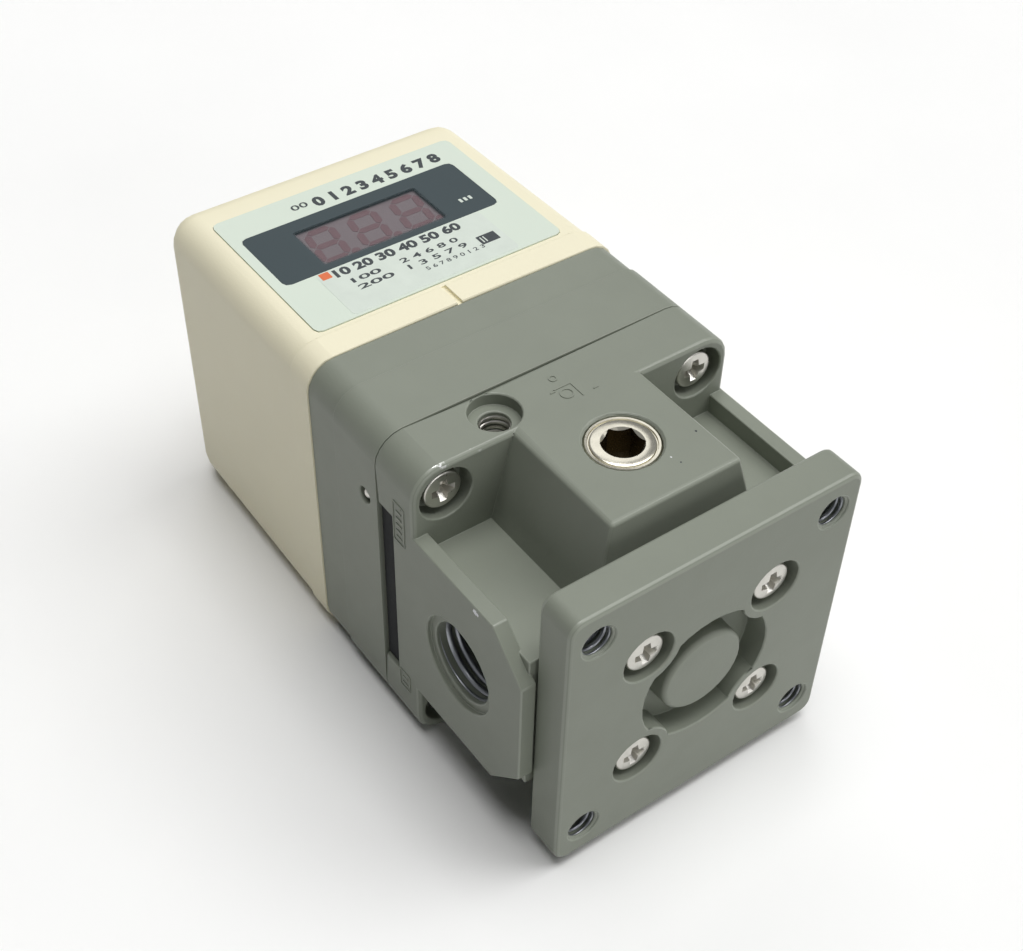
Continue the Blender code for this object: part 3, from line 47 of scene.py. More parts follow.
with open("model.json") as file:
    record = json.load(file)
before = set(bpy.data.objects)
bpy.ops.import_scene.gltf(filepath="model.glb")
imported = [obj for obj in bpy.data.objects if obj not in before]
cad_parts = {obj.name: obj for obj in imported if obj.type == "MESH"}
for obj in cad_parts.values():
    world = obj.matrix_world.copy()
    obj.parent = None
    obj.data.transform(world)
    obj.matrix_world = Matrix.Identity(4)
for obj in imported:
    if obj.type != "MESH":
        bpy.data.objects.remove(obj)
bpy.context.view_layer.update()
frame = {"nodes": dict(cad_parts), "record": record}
HOUSING = "housing"
MM = 0.001
COLLECTION = "regulator"

# The frame's own places
PLATE_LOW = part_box("base_plate")[0]
BODY_LOW, BODY_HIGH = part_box("body")
LABEL_LOW, LABEL_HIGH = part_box("label")
WINDOW_LOW, WINDOW_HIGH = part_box("display_window")
DISPLAY_LOW, DISPLAY_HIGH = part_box("led_display")
PLUG_LOW, PLUG_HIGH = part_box("gauge_port_plug")
COVER_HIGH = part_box("cover")[1]
AXIS_Z = (BODY_LOW.z + BODY_HIGH.z) / 2
BODY_HALF = BODY_HIGH.x

# Edges of the castings and the cover
MERGE_DISTANCE = 0.002 * MM
FLAT_ANGLE = math.radians(0.4)      # below it two faces of a copy are one
SMOOTH_ANGLE = 30                   # degrees up to which a piece is shaded smooth
BREAK_ANGLE = math.radians(34)      # above it an edge is broken
CORNER_ZONE = 4.5 * MM     # the round corners of the stack lie within it
SEAM_ZONE = 0.45 * MM      # depth of the edge rounding at a band's end
SEAM_GROWTH = 0.12 * MM    # reach of a band's end towards the next band
SEAM_SQUEEZE = 0.2         # share of the rounding's depth that is left at a seam
SEAM_SHARE = 0.2           # share of the edge break that the edges of a seam get
INNER_SHARE = 0.4          # and that inside corners get, so that narrow steps stay open

# Pan head screws
HEAD_HEIGHT = 2.0 * MM
HEAD_CROWN = 0.18 * MM
HEAD_EDGE = 0.35 * MM
HEAD_CHAMFER = 0.15 * MM
SHANK_RADIUS = 1.35 * MM
RECESS_ARM = 3.5 * MM
RECESS_SLOT = 0.95 * MM
RECESS_DEPTH = 1.5 * MM
RECESS_RISE = 0.2 * MM     # reach of the cutter over the head

# Socket plug of the gauge port
PLUG_GROWTH = 0.22 * MM    # radial, so that the plug fills its bore
SOCKET_FLATS = 5.0 * MM
SOCKET_DEPTH = 4.0 * MM
FUNNEL_HEIGHT = 0.9 * MM

# Threads
PORT_FROM_EDGE = 13.5 * MM
PORT_THREAD = (5.75 * MM, 10.0 * MM)        # radius and length
PORT_MOUTH = 0.7 * MM
MOUNT_X = 18.2 * MM
MOUNT_Z = 18.25 * MM
MOUNT_THREAD = (2.15 * MM, 4.8 * MM)
MOUNT_MOUTH = 0.2 * MM
SIDE_PORT_X = -9.85 * MM
SIDE_PORT_BACK = 3.9 * MM
SIDE_THREAD = (2.05 * MM, 4.0 * MM)
SIDE_MOUTH = 1.8 * MM
RIDGE_SHARE = 0.34         # radius of a thread's ridge against its pitch
THREAD_ANGLE = 60          # degrees up to which a thread is shaded smooth

# Label film and window
FILM_THICKNESS = 0.35 * MM
LABEL_TILT = math.atan2(LABEL_HIGH.z - LABEL_LOW.z - FILM_THICKNESS, LABEL_HIGH.y - LABEL_LOW.y)
FILM_BORDER = 1.1 * MM     # from the film's ends, within which its outer edge lies
FILM_SIDE = 0.2 * MM       # and from its sides
SHEET_GROWTH = 0.26 * MM
CUTOUT_LOW = (0.88 * MM, 0.27 * MM)         # steps of the cut-out's near left corner
CUTOUT_HIGH = (-0.22 * MM, -0.17 * MM)
WINDOW_STEP_LOW = (0.62 * MM, 0.0)
WINDOW_STEP_HIGH = (0.05 * MM, 0.10 * MM)
WINDOW_CORE = 0.5 * MM     # points further down belong to the window's underside
WINDOW_THINNING = 0.75 * MM

# Display
FACE_THICKNESS = 0.2 * MM
FACE_SINK = 0.7 * MM       # of the display's face under the film
DIGIT_SINK = 0.49 * MM
DIGIT_PLACES = (-8.4 * MM, -1.5 * MM, 5.6 * MM)
DIGIT_SLANT = math.tan(math.radians(8))
SEGMENT_THICKNESS = 0.04 * MM

# Black strips in the vent slots: painted shade for the dark inside of the slots
VENT_RECESS = 0.6 * MM
SHADE_STRIP_SIZE = Vector((2.0, 3.2, 29.4)) * MM
SHADE_STRIP_BACK = 1.7 * MM

# Cast marks
MARK_WIDTH = 0.20 * MM
MARK_HEIGHT = 0.16 * MM
MARK_SINK = 0.06 * MM      # part of the height that stands in the casting


def metres(rows):
    """Rows of lengths in millimetres as rows in metres."""
    return [tuple(value * MM for value in row) for row in rows]


def linear(hex_colour):
    """Turn an sRGB hex value such as "8F948D" into a linear colour with alpha."""
    values = [int(hex_colour[i:i + 2], 16) / 255 for i in (0, 2, 4)]
    return tuple(v / 12.92 if v <= 0.04045 else ((v + 0.055) / 1.055) ** 2.4 for v in values) + (1.0,)


def colour_property(name, description, hex_colour):
    """A linear colour setting with its default from a hex value."""
    return bpy.props.FloatVectorProperty(name=name, description=description, subtype="COLOR", size=3,
                                         min=0.0, max=1.0, default=linear(hex_colour)[:3])


def length_property(name, description, default):
    """A length setting in metres."""
    return bpy.props.FloatProperty(name=name, description=description, subtype="DISTANCE",
                                   unit="LENGTH", min=0.0, precision=5, default=default)


class RegulatorSizes(bpy.types.PropertyGroup):
    """Sizes that a user would change."""

    edge_break: length_property("Edge break", "Width of the rounding on the edges of the castings",
                                0.20 * MM)
    port_pitch: length_property("Port pitch", "Pitch of the pipe threads in the ports", 1.337 * MM)
    screw_pitch: length_property("Screw pitch", "Pitch of the small tapped holes", 0.8 * MM)
    print_lift: length_property("Print height", "Height of the print over the label film", 0.02 * MM)
    digit_height: length_property("Digit height", "Height of one display digit", 7.0 * MM)


class RegulatorColours(bpy.types.PropertyGroup):
    """Colours that a user would change."""

    enamel: colour_property("Enamel", "Grey enamel of the castings", "858A7E")
    cover: colour_property("Cover", "Cream moulding of the cover", "EFE9CD")
    label: colour_property("Label", "Film of the label", "D3DED0")
    window: colour_property("Window", "Smoked display window", "39464A")
    digits: colour_property("Digits", "Unlit segments of the display", "AF858B")
    print_ink: colour_property("Ink", "Printing ink of the label", "2A3236")
    floor: colour_property("Floor", "Floor under the part", "F8F8F7")


# Objects and meshes


def link(obj):
    """Put an object in the part's collection."""
    home = bpy.data.collections.get(COLLECTION)
    if home is None:
        home = bpy.data.collections.new(COLLECTION)
        bpy.context.scene.collection.children.link(home)
    home.objects.link(obj)
    return obj


def mesh_object(name, form, materials):
    """Turn a bmesh into an object with these materials and free the bmesh."""
    mesh = bpy.data.meshes.new(name)
    form.to_mesh(mesh)
    form.free()
    for made in materials:
        mesh.materials.append(made)
    return link(bpy.data.objects.new(name, mesh))


def baked(obj):
    """Replace an object's mesh by its evaluated mesh in world space and clear its modifiers."""
    bpy.context.view_layer.update()
    graph = bpy.context.evaluated_depsgraph_get()
    mesh = bpy.data.meshes.new_from_object(obj.evaluated_get(graph), preserve_all_data_layers=True,
                                           depsgraph=graph)
    mesh.transform(obj.matrix_world)
    made = link(bpy.data.objects.new("piece", mesh))
    name = obj.name
    bpy.data.objects.remove(obj, do_unlink=True)
    made.name = name
    mesh.name = name
    return made


def smooth(obj, angle):
    """Shade a mesh smooth up to an angle in degrees."""
    obj.data.shade_smooth()
    obj.data.set_sharp_from_angle(angle=math.radians(angle))
    return obj


def declare(obj, slot, *nodes):
    """Make a piece ride on the housing and hide the nodes it stands for. Its finish slot is not used."""
    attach(obj, HOUSING)
    if nodes:
        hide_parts(*nodes)


def close_seams(form, low, high, at_low, at_high):
    """Draw the ends of a band out until only a hairline is left between it and the next one."""
    inner = Vector((low.x, 0, low.z)) + Vector((1, 0, 1)) * CORNER_ZONE
    outer = Vector((high.x, 0, high.z)) - Vector((1, 0, 1)) * CORNER_ZONE
    moved = []
    for vert in form.verts:
        x, y, z = vert.co
        if inner.x < x < outer.x or inner.z < z < outer.z:
            continue
        for wanted, end, way in ((at_low, low.y, -1), (at_high, high.y, 1)):
            depth = (end - y) * way
            if wanted and depth < SEAM_ZONE:
                vert.co.y = end + way * (SEAM_GROWTH - depth * SEAM_SQUEEZE)
                moved.append(vert)
    return set(moved)


def node_copy(node, materials, edge_break=0.0, worn_and_highlit=False, seams=(False, False)):
    """A merged, smooth-shaded copy of a CAD node, with its sharp edges broken."""
    form = bmesh.new()
    form.from_mesh(frame["nodes"][node].data)
    bmesh.ops.remove_doubles(form, verts=form.verts, dist=MERGE_DISTANCE)
    bmesh.ops.dissolve_limit(form, angle_limit=FLAT_ANGLE, verts=form.verts, edges=form.edges)
    moved = close_seams(form, *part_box(node), *seams)
    weight = form.edges.layers.float.new("bevel_weight_edge")
    for edge in form.edges:
        if edge.calc_face_angle() > BREAK_ANGLE:
            full_width = 1.0 if edge.is_convex else INNER_SHARE
            edge[weight] = SEAM_SHARE if moved.issuperset(edge.verts) else full_width
    piece = smooth(mesh_object(f"{node}_finished", form, materials), SMOOTH_ANGLE)
    if edge_break:
        bevel = piece.modifiers.new("edge break", "BEVEL")
        bevel.width = edge_break
        bevel.segments = 2
        bevel.limit_method = "WEIGHT"
        bevel.use_clamp_overlap = False
        bevel.miter_outer = "MITER_ARC"
        # broken edges take the second material: paler enamel as a painted edge highlight, bared to metal
        # where rubbed
        bevel.material = 1 if worn_and_highlit else -1
    weights = piece.modifiers.new("weights", "WEIGHTED_NORMAL")
    weights.keep_sharp = True
    return baked(piece)


def shift_sheet(chosen, low_side, high_side):
    """Move the edges of a sheet or its cut-out by (x, y) steps, in the plane of the label.

    The steps of low_side go to the points before the middle of the chosen ones, the others to the rest.
    """
    middle = sum((vert.co for vert in chosen), Vector()) / len(chosen)
    for vert in chosen:
        step_x = low_side[0] if vert.co.x < middle.x else high_side[0]
        step_y = low_side[1] if vert.co.y < middle.y else high_side[1]
        vert.co += Vector((step_x, step_y, -math.tan(LABEL_TILT) * step_y))


def turned_form(profile, steps):
    """A bmesh turned round Z from (radius, height) points that run down its outer side."""
    form = bmesh.new()
    verts = [form.verts.new((radius, 0.0, height)) for radius, height in profile]
    edges = [form.edges.new(pair) for pair in zip(verts, verts[1:])]
    bmesh.ops.spin(form, geom=verts + edges, cent=(0, 0, 0), axis=(0, 0, 1), steps=steps,
                   angle=2 * math.pi, use_merge=True)
    bmesh.ops.remove_doubles(form, verts=form.verts, dist=0.001 * MM)
    bmesh.ops.recalc_face_normals(form, faces=form.faces)
    return form


def plate_outline(points, thickness):
    """A flat bmesh plate from an outline in XY that runs anticlockwise, from z 0 up."""
    form = bmesh.new()
    low = [form.verts.new((x, y, 0.0)) for x, y in points]
    face = form.faces.new(low[::-1])
    made = bmesh.ops.extrude_face_region(form, geom=[face])
    top = [v for v in made["geom"] if isinstance(v, bmesh.types.BMVert)]
    bmesh.ops.translate(form, vec=(0, 0, thickness), verts=top)
    bmesh.ops.recalc_face_normals(form, faces=form.faces)
    return form


def rounded_rectangle(width, length, radius, steps=4):
    """Outline of a rectangle with round corners, anticlockwise."""
    points = []
    for number, (sx, sy) in enumerate(((1, 1), (-1, 1), (-1, -1), (1, -1))):
        cx = sx * (width / 2 - radius)
        cy = sy * (length / 2 - radius)
        for i in range(steps + 1):
            a = math.pi / 2 * (number + i / steps)
            points.append((cx + radius * math.cos(a), cy + radius * math.sin(a)))
    return points


def add_form(target, source, matrix, material_index=0):
    """Move a bmesh by a matrix and add it to another one."""
    source.transform(matrix)
    for face in source.faces:
        face.material_index = material_index
    scratch = bpy.data.meshes.new("scratch")
    source.to_mesh(scratch)
    source.free()
    target.from_mesh(scratch)
    bpy.data.meshes.remove(scratch)


# Places on the label


def on_label(x, y, lift=0.0):
    """Matrix that puts a flat form on the label, y counted from the label's near edge."""
    along = (LABEL_LOW.y + y)
    height = LABEL_HIGH.z - math.tan(LABEL_TILT) * y + lift
    return Matrix.Translation((x, along, height)) @ Matrix.Rotation(-LABEL_TILT, 4, "X")


# Materials


def add(tree, kind, settings=None, links=None):
    """Add a node. Settings name its properties or inputs, links join sockets to its inputs."""
    made = tree.nodes.new(kind)
    for key, value in (settings or {}).items():
        if isinstance(key, str) and hasattr(made, key):
            setattr(made, key, value)
        else:
            made.inputs[key].default_value = value
    for key, socket in (links or {}).items():
        tree.links.new(socket, made.inputs[key])
    return made


def start(name, settings):
    """Make a material and return it with its tree, its shader and its object coordinates."""
    made = bpy.data.materials.new(name)
    made.use_nodes = True
    tree = made.node_tree
    shader = tree.nodes["Principled BSDF"]
    for key, value in settings.items():
        shader.inputs[key].default_value = value
    place = add(tree, "ShaderNodeTexCoord").outputs["Object"]
    return made, tree, shader, place


def mottle(tree, place, size, low, high, detail=3.0):
    """A colour that wanders between two linear colours over patches of a real size."""
    noise = add(tree, "ShaderNodeTexNoise", {"Scale": 1 / size, "Detail": detail}, {"Vector": place})
    return add(tree, "ShaderNodeMix", {"data_type": "RGBA", 6: low, 7: high},
               {0: noise.outputs["Fac"]}).outputs[2]


def grain(tree, shader, place, size, depth):
    """Bump of a real size and depth on a shader."""
    noise = add(tree, "ShaderNodeTexNoise", {"Scale": 1 / size, "Detail": 2.0}, {"Vector": place})
    bump = add(tree, "ShaderNodeBump", {"Strength": 1.0, "Distance": depth},
               {"Height": noise.outputs["Fac"]})
    tree.links.new(bump.outputs["Normal"], shader.inputs["Normal"])


def gloss_range(tree, shader, place, size, low, high):
    """Roughness that wanders between two values over patches of a real size."""
    noise = add(tree, "ShaderNodeTexNoise", {"Scale": 1 / size, "Detail": 3.0}, {"Vector": place})
    span = add(tree, "ShaderNodeMapRange", {"To Min": low, "To Max": high},
               {"Value": noise.outputs["Fac"]})
    tree.links.new(span.outputs["Result"], shader.inputs["Roughness"])


def shade(colour, factor):
    """A linear colour made lighter or darker."""
    return tuple(min(1.0, c * factor) for c in colour[:3]) + (1.0,)


def spots(tree, place, points, colour_socket, spot_colour):
    """Lay small ragged spots of a colour over a colour, each given as a place and a radius."""
    ragged = add(tree, "ShaderNodeTexNoise", {"Scale": 1 / (0.35 * MM), "Detail": 2.0},
                 {"Vector": place})
    for centre, radius in points:
        near = add(tree, "ShaderNodeVectorMath", {"operation": "DISTANCE", 1: centre}, {0: place})
        reach = add(tree, "ShaderNodeMath", {"operation": "MULTIPLY", 1: 2 * radius},
                    {0: ragged.outputs["Fac"]})
        inside = add(tree, "ShaderNodeMath", {"operation": "LESS_THAN"},
                     {0: near.outputs["Value"], 1: reach.outputs[0]})
        colour_socket = add(tree, "ShaderNodeMix", {"data_type": "RGBA", 7: spot_colour},
                            {0: inside.outputs[0], 6: colour_socket}).outputs[2]
    return colour_socket


def enamel_colour(tree, place, base):
    """The enamel's colour with cloudy patches, chips to bright primer and specks of dirt."""
    colour = mottle(tree, place, 9 * MM, shade(base, 0.93), shade(base, 1.06))
    colour = spots(tree, place, CHIPS, colour, linear("E8E8EC"))
    return spots(tree, place, SPECKS, colour, linear("33363A"))


def marks(*rows):
    """Places and radii in metres from rows of x, y, z and radius in millimetres."""
    return [(row[:3], row[3]) for row in metres(rows)]


# Small marks of wear, and where hands and tools have rubbed the edges
CHIPS = marks((-25.0, -36.9, 39.0, 0.40), (-24.9, -37.4, 38.9, 0.22), (-20.7, -23.4, 50.0, 0.22),
              (3.0, -37.85, 50.0, 0.12), (6.9, -45.2, 49.7, 0.20))
SPECKS = marks((-22.7, -6.1, 50.0, 0.22), (8.5, -36.0, 50.0, 0.14), (-14.9, -51.7, 49.6, 0.26),
               (-3.2, -50.0, 50.0, 0.15), (-24.6, -37.9, 44.0, 0.16), (3.45, -39.2, 50.0, 0.12))
RUBBED = marks((-21.0, -23.4, 49.6, 2.4), (-15.5, -23.6, 50.0, 2.2), (-6.7, -44.5, 49.9, 2.2),
               (-3.0, -45.2, 49.9, 1.8), (-22.6, -51.7, 47.5, 1.3))


def enamel(base):
    """Baked grey enamel on an aluminium die casting: satin, with a soft orange peel."""
    made, tree, shader, place = start("baked_enamel", {"IOR": 1.5, "Specular IOR Level": 0.3})
    tree.links.new(enamel_colour(tree, place, base), shader.inputs["Base Color"])
    gloss_range(tree, shader, place, 4 * MM, 0.36, 0.50)
    grain(tree, shader, place, 0.5 * MM, 0.012 * MM)
    return made


def worn_and_highlit_enamel(base):
    """Enamel on an edge: a little paler as a painted highlight, and bared to metal where tools and hands
    rub it.
    """
    made, tree, shader, place = start("worn_enamel_edge", {"IOR": 1.5})
    wear = add(tree, "ShaderNodeTexNoise", {"Scale": 1 / (1.2 * MM), "Detail": 4.0},
               {"Vector": place})
    reach = None
    for centre, radius in RUBBED:
        far = add(tree, "ShaderNodeVectorMath", {"operation": "DISTANCE", 1: centre}, {0: place})
        near = add(tree, "ShaderNodeMapRange", {"From Max": radius, "To Min": 0.22, "To Max": 0.0},
                   {"Value": far.outputs["Value"]}).outputs["Result"]
        reach = near if reach is None else add(tree, "ShaderNodeMath", {"operation": "MAXIMUM"},
                                               {0: reach, 1: near}).outputs[0]
    rubbed = add(tree, "ShaderNodeMath", {"operation": "ADD"}, {0: wear.outputs["Fac"], 1: reach})
    bared = add(tree, "ShaderNodeMapRange", {"From Min": 0.72, "From Max": 0.80},
                {"Value": rubbed.outputs[0]})
    # a tenth paler than the enamel: a painted highlight on every broken edge, inside corners too
    highlit_paint = enamel_colour(tree, place, shade(base, 1.10))
    colour = add(tree, "ShaderNodeMix", {"data_type": "RGBA", 7: linear("D4D6D2")},
                 {0: bared.outputs["Result"], 6: highlit_paint})
    tree.links.new(colour.outputs[2], shader.inputs["Base Color"])
    metal = add(tree, "ShaderNodeMath", {"operation": "MULTIPLY", 1: 0.7},
                {0: bared.outputs["Result"]})
    tree.links.new(metal.outputs[0], shader.inputs["Metallic"])
    gloss_range(tree, shader, place, 2 * MM, 0.28, 0.42)
    return made


def cover_moulding(base):
    """Moulded ABS with a fine spark-eroded texture, a little yellowed at its far end."""
    made, tree, shader, place = start("moulded_abs", {"IOR": 1.53})
    warm = linear("E6DFB9")
    colour = mottle(tree, place, 14 * MM, shade(base, 0.97), shade(base, 1.02))
    split = add(tree, "ShaderNodeSeparateXYZ", None, {0: place})
    aged = add(tree, "ShaderNodeMapRange", {"From Min": COVER_HIGH.y - 5 * MM,
                                            "From Max": COVER_HIGH.y, "To Max": 0.55},
               {"Value": split.outputs["Y"]})
    patchy = add(tree, "ShaderNodeTexNoise", {"Scale": 1 / (2.5 * MM), "Detail": 5.0}, {"Vector": place})
    mask = add(tree, "ShaderNodeMath", {"operation": "MULTIPLY"},
               {0: aged.outputs["Result"], 1: patchy.outputs["Fac"]})
    colour = add(tree, "ShaderNodeMix", {"data_type": "RGBA", 7: warm},
                 {0: mask.outputs[0], 6: colour}).outputs[2]
    tree.links.new(colour, shader.inputs["Base Color"])
    gloss_range(tree, shader, place, 5 * MM, 0.44, 0.56)
    grain(tree, shader, place, 0.28 * MM, 0.02 * MM)
    return made


def plated(name, tone, roughness):
    """Electroplated metal: bright, with the faint turning marks of the piece under the plate."""
    made, tree, shader, place = start(name, {"Metallic": 1.0})
    colour = mottle(tree, place, 1.5 * MM, shade(tone, 0.82), shade(tone, 1.12), 5.0)
    tree.links.new(colour, shader.inputs["Base Color"])
    gloss_range(tree, shader, place, 0.6 * MM, roughness * 0.7, roughness * 1.4)
    grain(tree, shader, place, 0.4 * MM, 0.006 * MM)
    return made


def soft_rubber():
    """Moulded nitrile: deep black and dull."""
    made, tree, shader, place = start("nitrile_rubber", {"IOR": 1.52, "Specular IOR Level": 0.2})
    tree.links.new(mottle(tree, place, 2 * MM, linear("101214"), linear("191B1D")),
                   shader.inputs["Base Color"])
    gloss_range(tree, shader, place, 1 * MM, 0.62, 0.78)
    grain(tree, shader, place, 0.3 * MM, 0.01 * MM)
    return made


def plain_moulding(name, low, high, roughness):
    """Moulded plastic in one colour with a faint texture."""
    made, tree, shader, place = start(name, {"IOR": 1.5})
    tree.links.new(mottle(tree, place, 3 * MM, linear(low), linear(high)), shader.inputs["Base Color"])
    gloss_range(tree, shader, place, 2 * MM, roughness * 0.85, roughness * 1.15)
    grain(tree, shader, place, 0.3 * MM, 0.008 * MM)
    return made


def label_film(base):
    """Polyester film: satin, pale green-grey, with faint cloudy patches."""
    made, tree, shader, place = start("polyester_label_film", {"IOR": 1.6})
    colour = mottle(tree, place, 12 * MM, shade(base, 0.97), shade(base, 1.03))
    tree.links.new(colour, shader.inputs["Base Color"])
    gloss_range(tree, shader, place, 6 * MM, 0.30, 0.42)
    return made


def smoked_window(base):
    """Smoked acrylic: glossy, dark where it is backed and clearer over the face of the display."""
    made, tree, shader, place = start("smoked_acrylic", {"IOR": 1.49, "Roughness": 0.3,
                                                         "Specular IOR Level": 0.2})
    tree.links.new(mottle(tree, place, 15 * MM, shade(base, 0.94), shade(base, 1.06)),
                   shader.inputs["Base Color"])
    split = add(tree, "ShaderNodeSeparateXYZ", None, {0: place})
    clear = None
    for axis, low, high in (("X", DISPLAY_LOW.x, DISPLAY_HIGH.x), ("Y", DISPLAY_LOW.y, DISPLAY_HIGH.y)):
        off = add(tree, "ShaderNodeMath", {"operation": "SUBTRACT", 1: (low + high) / 2},
                  {0: split.outputs[axis]})
        size = add(tree, "ShaderNodeMath", {"operation": "ABSOLUTE"}, {0: off.outputs[0]})
        half = (high - low) / 2
        inside = add(tree, "ShaderNodeMapRange", {"From Min": half - 0.5 * MM, "From Max": half,
                                                  "To Min": 1.0, "To Max": 0.0},
                     {"Value": size.outputs[0]}).outputs["Result"]
        clear = inside if clear is None else add(tree, "ShaderNodeMath", {"operation": "MULTIPLY"},
                                                 {0: clear, 1: inside}).outputs[0]
    solid = add(tree, "ShaderNodeMapRange", {"To Min": 0.97, "To Max": 0.25}, {"Value": clear})
    tree.links.new(solid.outputs["Result"], shader.inputs["Alpha"])
    grain(tree, shader, place, 0.9 * MM, 0.004 * MM)
    return made


def ink(name, colour):
    """Printing ink, with the slight unevenness of a screen print."""
    made, tree, shader, place = start(name, {"IOR": 1.5})
    tree.links.new(mottle(tree, place, 2.5 * MM, shade(colour, 0.92), shade(colour, 1.08)),
                   shader.inputs["Base Color"])
    gloss_range(tree, shader, place, 1 * MM, 0.35, 0.5)
    return made


def colours():
    """The colour settings of the scene."""
    return bpy.context.scene.regulator_colours


def sizes():
    """The size settings of the scene."""
    return bpy.context.scene.regulator_sizes


def full(colour):
    """A colour setting as a linear colour with alpha."""
    return tuple(colour) + (1.0,)


_made = {}


def finish_for(slot):
    """The procedural material of a finish slot of the record, made once."""
    c = colours()
    makers = {
        "grey_paint": lambda: enamel(full(c.enamel)),
        # edge enamel: a painted highlight, with real rubbed wear
        "worn_and_highlit_edge": lambda: worn_and_highlit_enamel(full(c.enamel)),
        "cream_moulding": lambda: cover_moulding(full(c.cover)),
        "plated_steel": lambda: plated("bright_zinc_plate", linear("CFCDC6"), 0.30),
        "nickel_plate": lambda: plated("nickel_plate", linear("CDC9BA"), 0.22),
        "tarnished_nickel": lambda: plated("tarnished_nickel", linear("776C56"), 0.26),
        "brass": lambda: plated("turned_brass", linear("C49A55"), 0.30),
        "spring_steel": lambda: plated("spring_steel", linear("8C8D90"), 0.35),
        "black_rubber": soft_rubber,
        "machined_aluminium": lambda: plated("machined_aluminium", linear("9A9DA2"), 0.35),
        "label_film": lambda: label_film(full(c.label)),
        "smoked_window": lambda: smoked_window(full(c.window)),
        "display_face": lambda: plain_moulding("display_moulding", "B8A5A9", "C0ADB1", 0.45),
        "circuit_board": lambda: plain_moulding("solder_mask", "17492C", "1D5735", 0.35),
        "black_plastic": lambda: plain_moulding("black_nylon", "17181A", "212225", 0.5),
        "capacitor_sleeve": lambda: plain_moulding("shrink_sleeve", "14141B", "1C1C26", 0.3),
        "gold_plate": lambda: plated("gold_plate", linear("D6A850"), 0.22),
    }
    if slot not in _made:
        _made[slot] = makers[slot]()
    return _made[slot]


# Repeated pieces by Geometry Nodes


def new_tree(name, inputs):
    """A geometry node group with a geometry input and output and named number inputs."""
    tree = bpy.data.node_groups.new(name, "GeometryNodeTree")
    tree.interface.new_socket("Geometry", in_out="INPUT", socket_type="NodeSocketGeometry")
    for label, kind, value in inputs:
        socket = tree.interface.new_socket(label, in_out="INPUT", socket_type=kind)
        if value is not None:
            socket.default_value = value
    tree.interface.new_socket("Geometry", in_out="OUTPUT", socket_type="NodeSocketGeometry")
    return tree, tree.nodes.new("NodeGroupInput"), tree.nodes.new("NodeGroupOutput")


def run_tree(obj, tree, values):
    """Run a node group on an object with values by input name and bake the result."""
    modifier = obj.modifiers.new(tree.name, "NODES")
    modifier.node_group = tree
    for item in tree.interface.items_tree:
        if item.item_type == "SOCKET" and item.in_out == "INPUT" and item.name in values:
            modifier[item.identifier] = values[item.name]
    return baked(obj)


def thread_tree():
    """A ridge that winds round local Z down from the mouth of a hole."""
    tree, source, result = new_tree("thread", [
        ("Radius", "NodeSocketFloat", 2.0 * MM), ("Pitch", "NodeSocketFloat", 0.8 * MM),
        ("Length", "NodeSocketFloat", 5.0 * MM), ("Ridge", "NodeSocketFloat", 0.3 * MM),
        ("Material", "NodeSocketMaterial", None)])
    turns = add(tree, "ShaderNodeMath", {"operation": "DIVIDE"},
                {0: source.outputs["Length"], 1: source.outputs["Pitch"]})
    spiral = add(tree, "GeometryNodeCurveSpiral", {"Resolution": 40},
                 {"Rotations": turns.outputs[0], "Start Radius": source.outputs["Radius"],
                  "End Radius": source.outputs["Radius"], "Height": source.outputs["Length"]})
    along = add(tree, "GeometryNodeSplineParameter")
    runout = add(tree, "ShaderNodeMath", {"operation": "PINGPONG", 1: 0.5},
                 {0: along.outputs["Factor"]})
    fade = add(tree, "ShaderNodeMapRange", {"From Max": 0.08, "To Min": 0.05},
               {"Value": runout.outputs[0]})
    sized = add(tree, "GeometryNodeSetCurveRadius", None,
                {"Curve": spiral.outputs["Curve"], "Radius": fade.outputs["Result"]})
    profile = add(tree, "GeometryNodeCurvePrimitiveCircle", {"Resolution": 6},
                  {"Radius": source.outputs["Ridge"]})
    ridge = add(tree, "GeometryNodeCurveToMesh", {"Fill Caps": True},
                {"Curve": sized.outputs["Curve"], "Profile Curve": profile.outputs["Curve"],
                 "Scale": fade.outputs["Result"]})
    whole = add(tree, "GeometryNodeRealizeInstances", None, {"Geometry": ridge.outputs["Mesh"]})
    coated = add(tree, "GeometryNodeSetMaterial", None,
                 {"Geometry": whole.outputs["Geometry"], "Material": source.outputs["Material"]})
    tree.links.new(coated.outputs["Geometry"], result.inputs["Geometry"])
    return tree


def fastener_tree():
    """One object set on every point of the geometry, turned as a whole."""
    tree, source, result = new_tree("fasteners", [
        ("Fastener", "NodeSocketObject", None), ("Turn", "NodeSocketVector", None),
        ("Material", "NodeSocketMaterial", None)])
    shape = add(tree, "GeometryNodeObjectInfo", None, {"Object": source.outputs["Fastener"]})
    spread = add(tree, "GeometryNodeInstanceOnPoints", None,
                 {"Points": source.outputs["Geometry"], "Instance": shape.outputs["Geometry"],
                  "Rotation": source.outputs["Turn"]})
    whole = add(tree, "GeometryNodeRealizeInstances", None, {"Geometry": spread.outputs["Instances"]})
    coated = add(tree, "GeometryNodeSetMaterial", None,
                 {"Geometry": whole.outputs["Geometry"], "Material": source.outputs["Material"]})
    tree.links.new(coated.outputs["Geometry"], result.inputs["Geometry"])
    return tree


_trees = {}


def thread_in(name, mouth, out, size, pitch, material):
    """A baked thread ridge of a radius and length in a hole; out points from the mouth to the open."""
    obj = mesh_object(name, bmesh.new(), [])
    radius, length = size
    ridge = pitch * RIDGE_SHARE
    values = {"Radius": radius, "Pitch": pitch, "Length": length, "Ridge": ridge,
              "Material": material}
    obj.rotation_euler = (-Vector(out)).to_track_quat("Z", "Y").to_euler()
    obj.location = Vector(mouth) - Vector(out) * ridge * 1.2
    return run_tree(obj, _trees["thread"], values)


def joined(name, objects):
    """Join baked meshes into one piece."""
    form = bmesh.new()
    materials = list(objects[0].data.materials)
    for obj in objects:
        form.from_mesh(obj.data)
        bpy.data.objects.remove(obj, do_unlink=True)
    return mesh_object(name, form, materials)


# Operators


